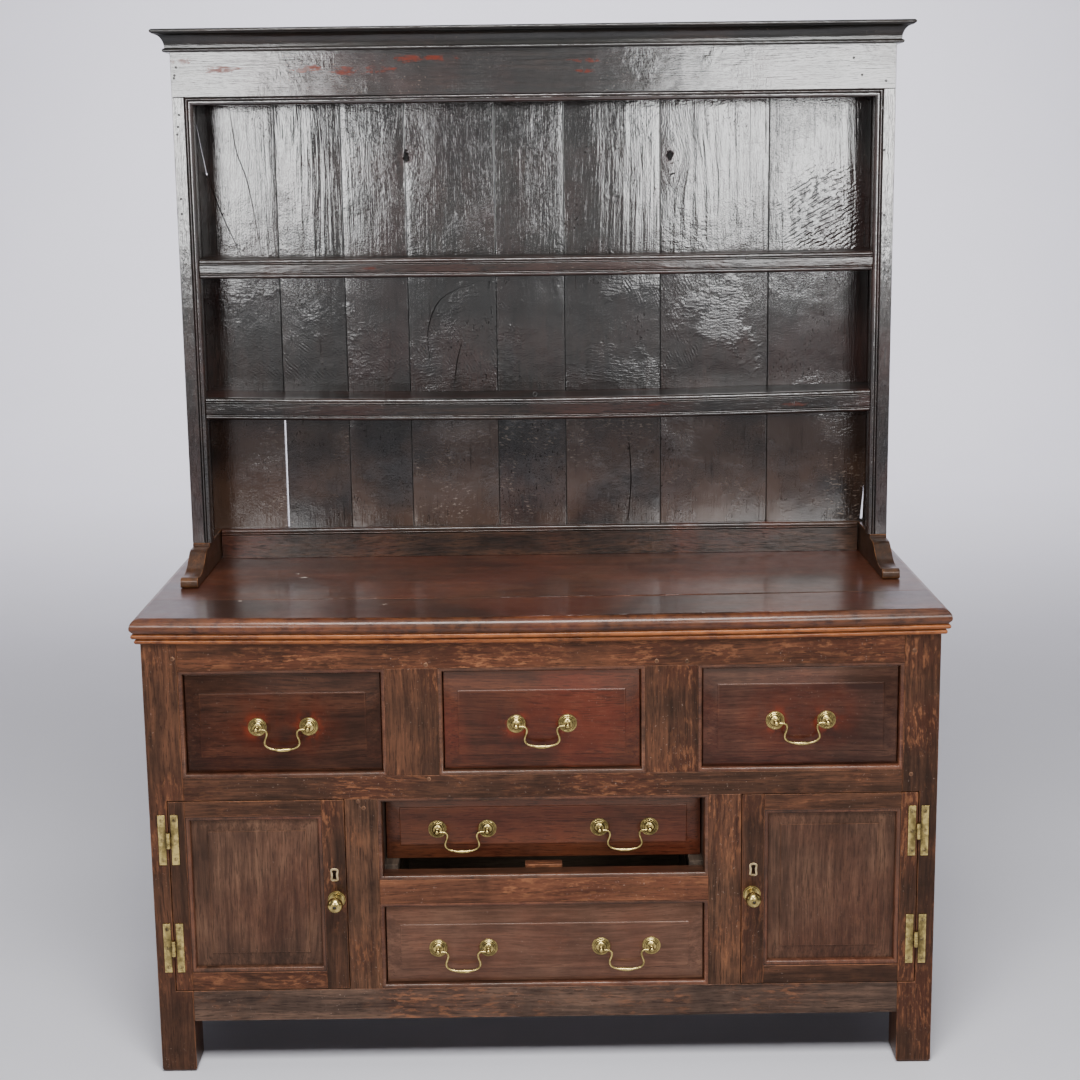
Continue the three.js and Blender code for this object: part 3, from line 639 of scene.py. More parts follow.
    def surface(self, pattern: Pattern, coat: Coat) -> dict[str, object]:
        """Join colour, relief and roughness and set the shine.

        Args:
            pattern: The patterns.
            coat: The finish, ready but for its shine.

        Returns:
            What to feed the shader, by the name of its input.
        """
        graph = pattern.graph
        rough = graph.fused(pattern.scuffs, 0.22, self.gloss - 0.11)
        rough = graph.fused(coat.rubbed, 0.06, rough)
        bump = graph.bump(self.relief, coat.height)
        kept = graph.times(graph.minus(1.0, coat.gone), self.polish) if self.bald else self.polish
        return {
            "Base Color": coat.colour, "Roughness": graph.fused(coat.grime, 0.15, rough),
            "Normal": bump, "Coat Normal": bump,
            "Specular IOR Level": self.shine, "Specular Tint": full(self.tint),
            "Coat Weight": kept, "Coat Roughness": self.polish_gloss, "Coat IOR": self.varnish,
        }


@dataclass(frozen=True)
class BackOak(Oak):
    """The oak of the rack's back: ridged above, marked by saw and plane in the middle, flaked below.

    Attributes:
        ridge: The share of the ridges in the relief.
        pits: The share of fine pits.
        bay_foot: The foot of the middle bay.
        bay_head: Its head.
        bay_fade: The height over which its marks fade.
        saw_centre: The point that the saw's arcs are drawn round.
        saw_pitch: The distance from one of them to the next.
        saw_depth: Their share in the relief.
        chatter_centre: The point that the plane's marks are drawn round.
        chatter_middle: The middle of the area that has them.
        chatter_reach: Distances from there over which they fade.
        chatter_pitch: The distance from one of them to the next.
        chatter_depth: Their share in the relief.
        arc_sway: How far the arcs are bent.
        low_head: The head of the lowest bay.
        low_fade: The height over which its marks fade.
        brown: The brown in the lowest bay.
        fleck: The colour of the flecks there.
        dry_behind: The place along Y from which the wood is unpolished.
        dry_fade: The distance over which it turns so.
        dry: The colour of the unpolished wood.
    """

    ridge: float = 0.85
    pits: float = 0.1
    bay_foot: float = 1.262
    bay_head: float = 1.482
    bay_fade: float = 0.01
    saw_centre: Place = (-0.85, 0.255, 0.95)
    saw_pitch: float = 0.0058
    saw_depth: float = 0.04
    chatter_centre: Place = (0.956, 0.255, 0.914)
    chatter_middle: Place = (0.6, 0.255, 1.6)
    chatter_reach: tuple[float, float] = (0.04, 0.13)
    chatter_pitch: float = 0.0085
    chatter_depth: float = 0.16
    arc_sway: float = 0.03
    low_head: float = 1.205
    low_fade: float = 0.03
    brown: Colour = (0.046, 0.024, 0.015)
    fleck: Colour = (0.20, 0.16, 0.13)
    dry_behind: float = 0.262
    dry_fade: float = 0.002
    dry: Colour = (0.062, 0.043, 0.030)

    def lost_polish(self, pattern: Pattern) -> Socket:
        """Find where the polish has gone: as elsewhere, in clusters of small pits and all over behind.

        Args:
            pattern: The patterns.

        Returns:
            The share that has gone.
        """
        graph = pattern.graph
        pits = graph.step(pattern.along(150.0, 330.0, 2.0), 0.6, 0.68)
        pits = graph.times(pits, pattern.patches(9.0, 0.48, 0.62, 4.0, 0.6))
        return graph.most(graph.most(super().lost_polish(pattern), pits), self.behind(pattern))

    def behind(self, pattern: Pattern) -> Socket:
        """Find the back of the boards, which was never polished."""
        y = pattern.graph.axis(pattern.place, 1)
        return pattern.graph.step(y, self.dry_behind, self.dry_behind + self.dry_fade)

    def surface(self, pattern: Pattern, coat: Coat) -> dict[str, object]:
        """Leave the back of the boards dry and brown, and finish the rest as other oak.

        Args:
            pattern: The patterns.
            coat: The finish, ready but for its shine.

        Returns:
            What to feed the shader, by the name of its input.
        """
        graph = pattern.graph
        bare = graph.times(self.behind(pattern), graph.minus(1.0, coat.grime))
        coat.colour = graph.blend(bare, coat.colour, pattern.streaked(self.dry))
        return super().surface(pattern, coat)

    def marked(self, pattern: Pattern, coat: Coat) -> None:
        """Raise the ridges, mark the middle bay with the saw's arcs, and brown and fleck the lowest bay.

        Args:
            pattern: The patterns.
            coat: The finish so far.
        """
        graph = pattern.graph
        z = graph.axis(pattern.place, 2)
        fade, head, foot = self.bay_fade, self.bay_head, self.bay_foot
        above = graph.step(z, head, head + 3 * fade)
        strong = graph.times(graph.attribute("ridged"), graph.fused(above, 0.8, 0.2))
        zones = graph.step(pattern.along(2.5, 12.0), 0.4, 0.6)
        strong = graph.times(strong, graph.fused(zones, 0.8, 0.3))
        height = graph.fused(graph.times(pattern.along(1.6, 80.0, 2.5, 0.5), strong), self.ridge, coat.height)
        height = graph.fused(pattern.spots(300.0), self.pits, height)
        bay = graph.step(z, foot - fade, foot + 2 * fade)
        bay = graph.minus(bay, graph.step(z, head - 2 * fade, head + fade))
        sawn = graph.times(graph.times(bay, pattern.patches(6.5, 0.42, 0.66, 4.0, 0.6)), self.saw_depth)
        sway, broken = pattern.spots(9.0, 4.0), pattern.patches(60.0, 0.4, 0.62)
        height = graph.fused(self.arcs(pattern, self.saw_centre, self.saw_pitch, sway, broken), sawn, height)
        sway, broken = pattern.spots(11.0, 5.0, 0.6), pattern.patches(70.0, 0.42, 0.6)
        chatter = self.arcs(pattern, self.chatter_centre, self.chatter_pitch, sway, broken)
        chatter = graph.times(chatter, graph.near(pattern.place, [self.chatter_middle], *self.chatter_reach))
        coat.height = graph.fused(chatter, self.chatter_depth, height)
        low = graph.minus(1.0, graph.step(z, self.low_head - self.low_fade, self.low_head))
        browned = graph.times(low, pattern.patches(5.0, 0.36, 0.6, 4.0))
        colour = graph.blend(graph.times(browned, 0.8), coat.colour, self.brown)
        chips = graph.step(pattern.along(230.0, 85.0, 5.0, 0.7), 0.55, 0.68)
        chips = graph.times(chips, graph.times(low, pattern.patches(7.0, 0.5, 0.64)))
        coat.colour = graph.blend(graph.times(chips, 0.75), colour, self.fleck)

    def arcs(self, pattern: Pattern, centre: Place, pitch: float, sway: Socket, broken: Socket) -> Socket:
        """Draw the arcs that a tool leaves.

        Args:
            pattern: The patterns.
            centre: The point that they are drawn round.
            pitch: The distance from one to the next.
            sway: A pattern that bends them.
            broken: The share of each that shows.

        Returns:
            The height, from -1 to 1.
        """
        graph = pattern.graph
        reach = graph.fused(sway, self.arc_sway, graph.distance(pattern.place, centre))
        return graph.times(graph.calc("SINE", graph.times(reach, 2 * math.pi / pitch)), broken)


@dataclass(frozen=True)
class Brass:
    """Old brass: bright where hands have rubbed it and brown in its hollows."""

    name: str = "old_brass"
    bright: Colour = (0.56, 0.43, 0.155)
    dull: Colour = (0.27, 0.205, 0.078)
    dirt: Colour = (0.045, 0.03, 0.012)
    gloss: float = 0.22
    relief: float = 0.00012

    def material(self) -> bpy.types.Material:
        """Make the brass, or return it if it is made.

        Returns:
            The material.
        """
        if self.name in bpy.data.materials:
            return bpy.data.materials[self.name]
        graph = Graph(self.name)
        place = graph.place()
        cloud = graph.noise(place, 90.0, 5.0, 0.65)
        colour = graph.blend(graph.step(cloud, 0.4, 0.62), self.bright, self.dull)
        grime = graph.times(graph.attribute("grime"), 0.9)
        spots = graph.times(graph.step(graph.noise(place, 620.0), 0.6, 0.72), 0.4)
        dirt = graph.calc("ADD", grime, spots, clamp=True)
        rough = graph.fused(cloud, 0.25, self.gloss - 0.1)
        return graph.finished({
            "Base Color": graph.blend(dirt, colour, self.dirt), "Metallic": 1.0,
            "Roughness": graph.fused(dirt, 0.3, rough), "Normal": graph.bump(self.relief, cloud),
        })


@dataclass(frozen=True)
class Plain:
    """A plain finish with a faint mottle, for the floor and for iron."""

    name: str
    colour: Colour
    rough: float = 0.9
    mottle: float = 0.08
    scale: float = 1.5

    def material(self) -> bpy.types.Material:
        """Make the finish, or return it if it is made.

        Returns:
            The material.
        """
        if self.name in bpy.data.materials:
            return bpy.data.materials[self.name]
        graph = Graph(self.name)
        cloud = graph.step(graph.noise(graph.place(), self.scale, 5.0, 0.6), 0.35, 0.65)
        colour = graph.blend(cloud, darker(self.colour, 1.0 - self.mottle), self.colour)
        return graph.finished({"Base Color": colour, "Roughness": self.rough})


WARM = (1.0, 0.62, 0.44)
COOL = (0.96, 0.945, 1.0)

RACK_OAK = Oak(
    "rack_oak", (0.0035, 0.003, 0.0028), (0.0085, 0.006, 0.005), (0.02, 0.012, 0.009), (0.06, 0.034, 0.022),
    (0.045, 0.011, 0.007), red_share=0.35, rub=0.15, patch=0.06, gloss=0.34, shine=0.1, polish=1.0,
    polish_gloss=0.14, varnish=1.8, relief=0.0016, planed=0.5, dint=0.2, bald=0.6, bald_along=75.0,
    bald_across=600.0, bald_from=0.68,
)
CORNICE_OAK = replace(
    RACK_OAK, name="cornice_oak", deep=(0.003, 0.003, 0.0026), middle=(0.006, 0.0058, 0.0048),
    pale=(0.013, 0.012, 0.0095), red_share=0.12, polish=0.45, dint=0.12, planed=0.2,
)
FRIEZE_OAK = replace(
    RACK_OAK, name="frieze_oak", bald=0.5, fibre=0.3, dint=0.1, torn=0.22, stain=(0.085, 0.014, 0.007),
    stains=(
        (-0.685, 0.0, 1.910, 0.010), (-0.6045, 0.0, 1.893, 0.013), (-0.439, 0.0, 1.8936, 0.012),
        (-0.353, 0.0, 1.8887, 0.014), (-0.310, 0.0, 1.890, 0.014), (-0.246, 0.0, 1.910, 0.012),
        (-0.179, 0.0, 1.911, 0.011), (0.0994, 0.0, 1.9017, 0.009), (0.0994, 0.0, 1.882, 0.007),
    ),
)
STILE_OAK = replace(
    RACK_OAK, name="stile_oak", varnish=2.0, bald=0.6, bald_along=30.0, dint=0.3, bald_from=0.62,
)
FASCIA_OAK = replace(
    RACK_OAK, name="fascia_oak", polish=0.62, bald=0.9, rub=0.3, red_share=0.3, red=(0.06, 0.016, 0.010),
    stains=((0.512, 0.0, 1.2265, 0.008), (0.245, 0.0, 1.23, 0.006), (-0.33, 0.0, 1.507, 0.006)),
)
SIDE_OAK = replace(RACK_OAK, name="side_oak", polish=0.35, polish_gloss=0.24, varnish=1.5)
SHELF_OAK = replace(RACK_OAK, name="shelf_oak", polish=0.12, gloss=0.6)
BACK_OAK = BackOak(
    "back_board_oak", (0.0035, 0.003, 0.0028), (0.008, 0.006, 0.0052), (0.018, 0.011, 0.009),
    (0.05, 0.026, 0.018), (0.032, 0.0095, 0.0075), red_share=0.35, rub=0.1, patch=0.0, gloss=0.34,
    shine=0.1, polish=1.0, polish_gloss=0.115, varnish=1.8, relief=0.0018, fibre=0.16, planed=0.6,
    torn=0.34, dint=0.1, streak=30.0, bald=0.6, bald_along=9.0, bald_across=190.0, bald_from=0.7,
    specks=0.15,
)
FRAME_OAK = Oak(
    "frame_oak", (0.010, 0.0052, 0.0034), (0.030, 0.0140, 0.0084), (0.078, 0.033, 0.0175),
    (0.20, 0.080, 0.036), (0.065, 0.017, 0.009), red_share=0.35, rub=0.7, patch=0.75, gloss=0.42, shine=0.2,
    tint=WARM, polish=0.1, polish_gloss=0.22, specks=0.4,
)
FRAME_OAKS = {
    # A lighter, greyer copy for the bottom rail: partly its own tone, partly a painted sheen of the bright
    # floor that it mirrors.
    "bottom_rail": replace(
        FRAME_OAK, name="bottom_rail_oak", middle=(0.046, 0.0275, 0.019), pale=(0.098, 0.056, 0.037),
        red_share=0.2, tint=(1.0, 0.85, 0.75),
    ),
    "drawer_rail": replace(
        FRAME_OAK, name="short_rail_oak", deep=(0.022, 0.009, 0.005), middle=(0.070, 0.027, 0.0145),
        pale=(0.145, 0.056, 0.027),
    ),
    "lower_muntin": replace(
        FRAME_OAK, name="lower_muntin_oak", middle=(0.052, 0.025, 0.0145), pale=(0.12, 0.054, 0.027),
        red_share=0.25,
    ),
    "top_rail": replace(
        FRAME_OAK, name="top_rail_oak", middle=(0.038, 0.0155, 0.0088), pale=(0.10, 0.037, 0.018),
    ),
}
FRAME_LIP = Oak(
    "lip_oak", (0.010, 0.005, 0.003), (0.030, 0.0135, 0.008), (0.075, 0.031, 0.017), (0.22, 0.085, 0.042),
    (0.07, 0.015, 0.008), rub=0.6, patch=0.2, gloss=0.36, shine=0.2, tint=WARM, polish=0.35,
    polish_gloss=0.13, specks=0.1,
)
DRAWER_OAK = Oak(
    "drawer_oak", (0.010, 0.0032, 0.0022), (0.030, 0.0088, 0.0048), (0.070, 0.022, 0.010),
    (0.16, 0.055, 0.026), (0.085, 0.012, 0.0055), red_share=0.5, rub=0.15, patch=0.15, gloss=0.36,
    shine=0.2, tint=WARM, polish=0.2, polish_gloss=0.15, relief=0.0003, specks=0.12,
)
DRAWER_OAKS = {
    # A darker copy for the left drawer: partly its own darker board, partly painted shade against the key
    # light that falls strongest on the left.
    "left": replace(
        DRAWER_OAK, name="left_drawer_oak", deep=(0.006, 0.0026, 0.0019), middle=(0.017, 0.0068, 0.0043),
        pale=(0.042, 0.016, 0.009), red=(0.05, 0.010, 0.005), red_share=0.3, polish=0.1, shine=0.12,
    ),
    "centre": replace(DRAWER_OAK, name="centre_drawer_oak", middle=(0.036, 0.0105, 0.0055), red_share=0.5),
    "right": replace(
        DRAWER_OAK, name="right_drawer_oak", middle=(0.030, 0.0125, 0.0080), pale=(0.065, 0.028, 0.016),
        red_share=0.2,
    ),
    "upper": replace(DRAWER_OAK, name="upper_drawer_oak", middle=(0.044, 0.0145, 0.0075), red_share=0.3),
    # A lighter, greyer copy for the lower drawer: partly its own tone, partly a painted sheen of the bright
    # floor that it mirrors.
    "lower": replace(
        DRAWER_OAK, name="lower_drawer_oak", deep=(0.034, 0.016, 0.010), middle=(0.066, 0.032, 0.0205),
        pale=(0.105, 0.052, 0.032), red=(0.09, 0.026, 0.014), red_share=0.2,
    ),
}
TOP_OAK = Oak(
    "top_oak", (0.013, 0.0055, 0.004), (0.034, 0.012, 0.0068), (0.078, 0.028, 0.014), (0.24, 0.078, 0.022),
    (0.085, 0.019, 0.010), red_share=0.45, rub=0.8, patch=0.1, gloss=0.34, shine=0.25, tint=(1.0, 0.85, 0.78),
    polish=0.34, polish_gloss=0.15, relief=0.0003, planed=0.08, bald=0.5, specks=0.0,
    # The top's ragged spots are pale painted glints where dents catch the light, not worn bare wood.
    stains=(
        (-0.4908, 0.1035, 0.0, 0.004), (-0.4726, 0.0727, 0.0, 0.006), (-0.3329, 0.0777, 0.0, 0.005),
        (-0.5694, -0.1095, 0.0, 0.003), (-0.2929, -0.1388, 0.0, 0.003),
    ),
    stain=(0.45, 0.38, 0.33), stain_reach=(0.5, 1.0, 0.0), stain_edge=0.15,
)
MOULDING_OAK = Oak(
    "moulding_oak", (0.018, 0.006, 0.003), (0.070, 0.021, 0.0065), (0.20, 0.060, 0.016), (0.33, 0.105, 0.028),
    (0.12, 0.022, 0.008), red_share=0.3, rub=0.9, patch=0.5, gloss=0.34, shine=0.3, tint=WARM,
    polish=0.25, polish_gloss=0.15, specks=0.1,
)
PANEL_OAK = Oak(
    "door_panel_oak", (0.015, 0.008, 0.0055), (0.042, 0.021, 0.0135), (0.092, 0.048, 0.029),
    (0.2, 0.09, 0.045), (0.07, 0.021, 0.012), red_share=0.2, rub=0.3, patch=0.12, gloss=0.4, shine=0.22,
    tint=WARM, polish=0.12, polish_gloss=0.2, specks=0.12,
)
PEG_OAK = Oak(
    "peg_oak", (0.02, 0.010, 0.006), (0.055, 0.026, 0.015), (0.10, 0.05, 0.028), (0.24, 0.12, 0.06),
    (0.07, 0.03, 0.016), red_share=0.2, rub=0.7, gloss=0.42, shine=0.3, tint=WARM, polish=0.1,
)
FOOT_OAK = Oak(
    "foot_oak", (0.008, 0.004, 0.0022), (0.022, 0.0095, 0.0045), (0.055, 0.022, 0.009), (0.24, 0.095, 0.032),
    (0.05, 0.015, 0.007), red_share=0.3, rub=0.8, patch=0.2, gloss=0.32, shine=0.25, tint=WARM, polish=0.3,
)
SPLASH_OAK = Oak(
    "splash_oak", (0.006, 0.004, 0.003), (0.020, 0.0105, 0.007), (0.052, 0.024, 0.013), (0.10, 0.045, 0.024),
    (0.085, 0.018, 0.009), red_share=0.6, rub=0.3, patch=0.3, gloss=0.32, shine=0.2, polish=0.6, dint=0.8,
    bald=0.9,
)
PLAIN_OAK = Oak(
    "plain_oak", (0.045, 0.030, 0.020), (0.085, 0.058, 0.038), (0.14, 0.098, 0.064), (0.19, 0.135, 0.085),
    (0.09, 0.05, 0.03), red_share=0.2, rub=0.4, patch=0.1, gloss=0.62, shine=0.3, polish=0.0, relief=0.0006,
)
INNER_OAK = replace(
    PLAIN_OAK, name="inner_oak", deep=(0.02, 0.013, 0.009), middle=(0.043, 0.029, 0.020),
    pale=(0.072, 0.05, 0.034),
)
BRASS = Brass()
RIM_BRASS = Brass("pale_brass", (0.56, 0.43, 0.24), (0.36, 0.27, 0.14), (0.08, 0.055, 0.03), 0.34)
SCREW_BRASS = Brass("screw_brass", (0.42, 0.32, 0.14), (0.12, 0.09, 0.045), (0.02, 0.014, 0.008), 0.3)
IRON = Plain("old_iron", (0.028, 0.026, 0.025), 0.45, 0.5, 300.0)
BACKDROP = Plain("studio_paper", (0.725, 0.718, 0.765), 0.9, 0.02, 1.1)


def alone(piece: Piece) -> None:
    """Select one piece and nothing else, and make it active.

    Args:
        piece: The piece.
    """
    bpy.ops.object.select_all(action="DESELECT")
    piece.select_set(True)
    bpy.context.view_layer.objects.active = piece


def place_ring(piece: Piece, ring: Ring, before: Ring | None = None) -> None:
    """Move the selected ring of corners to its places.

    Args:
        piece: The piece in edit mode.
        ring: The places wanted, in order.
        before: Where the corners are now, in the same order, or None for a new circle.
    """
    mesh = bmesh.from_edit_mesh(piece.data)
    if before is None:
        for vert, place in zip(mesh.verts, ring):
            vert.co = place
    else:
        where = {key(place): i for i, place in enumerate(before)}
        for vert in mesh.verts:
            if vert.select:
                vert.co = ring[where[key(vert.co)]]
    bmesh.update_edit_mesh(piece.data)


def key(place: Iterable[float]) -> tuple[float, ...]:
    """Round a place, so that a corner is found again by it."""
    return tuple(round(value, KEY_DIGITS) + 0.0 for value in place)


def loft(name: str, rings: Sequence[Ring], closed: bool = False) -> Piece:
    """Extrude a ring of corners from place to place.

    Args:
        name: The piece's name.
        rings: The places of each ring's corners, in the same order in each.
        closed: Whether the last ring is the first again, as in a frame, so that there are no ends.

    Returns:
        The new piece.
    """
    rounded = [[key(place) for place in ring] for ring in rings]
    bpy.ops.object.select_all(action="DESELECT")
    fill = "NOTHING" if closed else "NGON"
    bpy.ops.mesh.primitive_circle_add(vertices=len(rounded[0]), fill_type=fill)
    piece = bpy.context.object
    piece.name = name
    bpy.ops.object.mode_set(mode="EDIT")
    bpy.ops.mesh.select_all(action="SELECT")
    place_ring(piece, rounded[0])
    for before, ring in zip(rounded, rounded[1:]):
        bpy.ops.mesh.extrude_region_move()
        place_ring(piece, ring, before)
    bpy.ops.mesh.select_all(action="SELECT")
    bpy.ops.mesh.remove_doubles(threshold=MERGE)
    bpy.ops.mesh.normals_make_consistent(inside=False)
    bpy.ops.object.mode_set(mode="OBJECT")
    return piece


def soften(piece: Piece, width: float, segments: int = 3, angle: float = SHARP_ANGLE) -> Piece:
    """Round the sharp edges of a piece.

    Args:
        piece: The piece.
        width: How far in from an edge its rounding starts.
        segments: The steps of each rounded edge.
        angle: The angle from which an edge is sharp.

    Returns:
        The same piece.
    """
    alone(piece)
    edge = piece.modifiers.new("edge", "BEVEL")
    edge.width = width
    edge.segments = segments
    edge.limit_method = "ANGLE"
    edge.angle_limit = angle
    bpy.ops.object.modifier_apply(modifier=edge.name)
    return piece


def block(name: str, low: Sequence[float], high: Sequence[float], edge: float = 0.0008) -> Piece:
    """Make a board between two corners, with its edges a little rounded.

    Args:
        name: The piece's name.
        low: The lowest corner.
        high: The highest corner.
        edge: The radius of its edges.

    Returns:
        The new piece.
    """
    size = [b - a for a, b in zip(low, high)]
    middle = [(a + b) / 2 for a, b in zip(low, high)]
    bpy.ops.object.select_all(action="DESELECT")
    bpy.ops.mesh.primitive_cube_add(size=1, location=middle)
    piece = bpy.context.object
    piece.name = name
    bpy.ops.transform.resize(value=size)
    bpy.ops.object.transform_apply(location=True, rotation=True, scale=True)
    return soften(piece, edge) if edge else piece


def carve(piece: Piece, *cutters: Piece) -> Piece:
    """Cut one or more solids out of a piece and delete them.

    Args:
        piece: The piece.
        *cutters: The solids.

    Returns:
        The same piece.
    """
    for cutter in cutters:
        alone(piece)
        cut = piece.modifiers.new("cut", "BOOLEAN")
        cut.operation = "DIFFERENCE"
        cut.solver = "EXACT"
        cut.object = cutter
        bpy.ops.object.modifier_apply(modifier=cut.name)
        bpy.data.objects.remove(cutter, do_unlink=True)
    return piece


def spaced(start: float, end: float, steps: int) -> list[float]:
    """Space numbers evenly from the first to the last."""
    return [start + (end - start) * i / steps for i in range(steps + 1)]


def circle(radius: float, sides: int) -> list[Point]:
    """Lay out the corners of a circle round the origin."""
    turns = [2 * math.pi * i / sides for i in range(sides)]
    return [(radius * math.cos(a), radius * math.sin(a)) for a in turns]


def round_ring(centre: Place, radius: float, reach: float, sides: int) -> Ring:
    """Lay out a ring of corners that stands in front of a place on a front face.

    Args:
        centre: The place.
        radius: The ring's radius.
        reach: How far it stands in front.
        sides: The number of its corners.

    Returns:
        The ring.
    """
    x, y, z = centre
    return [(x + across, y - reach, z + up) for across, up in circle(radius, sides)]


def turned(name: str, profile: Outline, centre: Place, sides: int) -> Piece:
    """Make a turned piece that stands out to the front, its profile given as radius and reach."""
    return loft(name, [round_ring(centre, radius, reach, sides) for radius, reach in profile])


def copied(piece: Piece, name: str, offset: Sequence[float]) -> Piece:
    """Copy a piece with a mesh of its own.

    Args:
        piece: The piece.
        name: The copy's name.
        offset: How far the copy is moved.

    Returns:
        The copy.
    """
    alone(piece)
    bpy.ops.object.duplicate()
    copy = bpy.context.object
    copy.name = name
    bpy.ops.transform.translate(value=offset)
    bpy.ops.object.transform_apply(location=True, rotation=True, scale=True)
    return copy


def from_node(name: str, node: str, edge: float, segments: int = 3) -> Piece:
    """Copy a node of the frame, merge its faces and round its edges.

    Args:
        name: The new piece's name.
        node: The node whose shape it takes.
        edge: The radius of its edges.
        segments: The steps of each rounded edge.

    Returns:
        The new piece.
    """
    original = bpy.data.objects[node]
    copy = bpy.data.objects.new(name, original.data.copy())
    bpy.context.scene.collection.objects.link(copy)
    alone(copy)
    copy.data.materials.clear()
    bpy.ops.object.mode_set(mode="EDIT")
    bpy.ops.mesh.select_all(action="SELECT")
    bpy.ops.mesh.remove_doubles(threshold=NODE_MERGE)
    bpy.ops.mesh.dissolve_limited(angle_limit=FLAT_ANGLE)
    bpy.ops.object.mode_set(mode="OBJECT")
    for stale in [a.name for a in copy.data.attributes if a.name.startswith(("custom_normal", "sharp"))]:
        copy.data.attributes.remove(copy.data.attributes[stale])
    return soften(copy, edge, segments)


def mark_edges(piece: Piece, radius: float = 0.0017) -> None:
    """Write where a piece is rounded outwards, and wears, and inwards, where it holds grime and takes painted
    shade.

    Args:
        piece: The finished piece.
        radius: The radius of an edge that counts in full.
    """
    mesh = bmesh.new()
    mesh.from_mesh(piece.data)
    wear = [0.0] * len(mesh.verts)
    grime = [0.0] * len(mesh.verts)
    for edge in mesh.edges:
        if len(edge.link_faces) != 2:
            continue
        length = max(edge.calc_length(), MERGE)
        width = sum(face.calc_area() for face in edge.link_faces) / 2 / length
        bend = edge.calc_face_angle_signed(0.0) / max(width, MERGE) * radius
        for vert in edge.verts:
            wear[vert.index] = max(wear[vert.index], min(1.0, bend))
            grime[vert.index] = max(grime[vert.index], min(1.0, -bend))
    mesh.free()
    board = zlib.crc32(piece.name.encode()) / 2**32
    for name, values in (("wear", wear), ("grime", grime), ("board", [board] * len(wear))):
        layer = piece.data.attributes.new(name, "FLOAT", "POINT")
        layer.data.foreach_set("value", values)


def wear_more(piece: Piece, share: float, test: Callable[[Vector], bool]) -> None:
    """Raise the wear of some of a piece's corners.

    Args:
        piece: The dressed piece.
        share: The least wear that they get.
        test: Whether a corner counts, by its place.
    """
    layer = piece.data.attributes["wear"]
    for vert, item in zip(piece.data.vertices, layer.data):
        if test(vert.co):
            item.value = max(item.value, share)


def dress(
    piece: Piece, finish: bpy.types.Material, body: str = CARCASE, nodes: Sequence[str] = ()
) -> Piece:
    """Finish a piece and let it ride on its body.

    Args:
        piece: The piece, in place.
        finish: Its material.
        body: The body that it moves with.
        nodes: The nodes that it stands for.

    Returns:
        The same piece.
    """
    alone(piece)
    bpy.ops.object.shade_smooth_by_angle(angle=SMOOTH_ANGLE)
    weigh = piece.modifiers.new("faces", "WEIGHTED_NORMAL")
    weigh.keep_sharp = True
    bpy.ops.object.modifier_apply(modifier=weigh.name)
    mark_edges(piece)
    piece.data.materials.clear()
    piece.data.materials.append(finish)
    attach(piece, body)
    if nodes:
        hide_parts(*nodes)
    log.info("%s: %d faces on %s", piece.name, len(piece.data.polygons), body)
    return piece


def rectangle(x0: float, x1: float, z0: float, z1: float, y: float) -> Ring:
    """Lay out an upright rectangle that faces the front."""
    return [(x0, y, z0), (x1, y, z0), (x1, y, z1), (x0, y, z1)]


def fielded(name: str, outside: Opening, bevels: Opening, stages: Sequence[Place]) -> Piece:
    """Make a panel whose field stands up from a bevel all round.

    Args:
        name: The piece's name.
        outside: The panel's left, right, foot and head.
        bevels: The width of the bevel at each of them.
        stages: From the edge to the field, the share of the bevel, a distance in and a place along Y.

    Returns:
        The new piece.
    """
    x0, x1, z0, z1 = outside
    left, right, foot, head = bevels
    rings = [
        rectangle(
            x0 + share * left + inset, x1 - share * right - inset,
            z0 + share * foot + inset, z1 - share * head - inset, y,
        )
        for share, inset, y in stages
    ]
    return loft(name, rings)


def mitred_frame(name: str, opening: Opening, profile: Outline, face: float) -> Piece:
    """Run a moulding round the inside of an opening, mitred at its corners.

    Args:
        name: The piece's name.
        opening: The opening's left, right, foot and head.
        profile: Corners of the section, as distance into the opening and depth behind the face.
        face: The face's place along Y.

    Returns:
        The new piece.
    """
    x0, x1, z0, z1 = opening
    corners = [(x0, z0, 1, 1), (x1, z0, -1, 1), (x1, z1, -1, -1), (x0, z1, 1, -1)]
    rings = [
        [(x + to_x * inward, face + depth, z + to_z * inward) for inward, depth in profile]
        for x, z, to_x, to_z in corners
    ]
    return loft(name, [*rings, rings[0]], closed=True)


def arc(centre: Point, radii: Point, start: float, end: float, steps: int) -> Outline:
    """Lay out an arc of an ellipse, from one angle to another in degrees."""
    angles = [math.radians(angle) for angle in spaced(start, end, steps)]
    return [(centre[0] + radii[0] * math.cos(a), centre[1] + radii[1] * math.sin(a)) for a in angles]


def bezier(a: Point, b: Point, c: Point, d: Point, t: float) -> Point:
    """Find a point of a cubic curve.

    Args:
        a: Where the curve starts.
        b: What its start is drawn towards.
        c: What its end is drawn towards.
        d: Where it ends.
        t: How far along it the point is, from 0 to 1.

    Returns:
        The point.
    """
    s = 1 - t
    shares = (s**3, 3 * s * s * t, 3 * s * t * t, t**3)
    return tuple(sum(share * value for share, value in zip(shares, values)) for values in zip(a, b, c, d))


def smooth_path(points: Outline, steps: int) -> Outline:
    """Join points by a curve that passes through each of them.

    Args:
        points: The points.
        steps: Steps between one point and the next.

    Returns:
        The points of the curve.
    """
    ends = [points[0], *points, points[-1]]
    path = []
    for a, b, c, d in zip(ends, ends[1:], ends[2:], ends[3:]):
        for i in range(steps):
            t = i / steps
            path.append(tuple(
                q + 0.5 * t * (r - p + t * (2 * p - 5 * q + 4 * r - s + t * (3 * q - p - 3 * r + s)))
                for p, q, r, s in zip(a, b, c, d)
            ))
    return [*path, points[-1]]


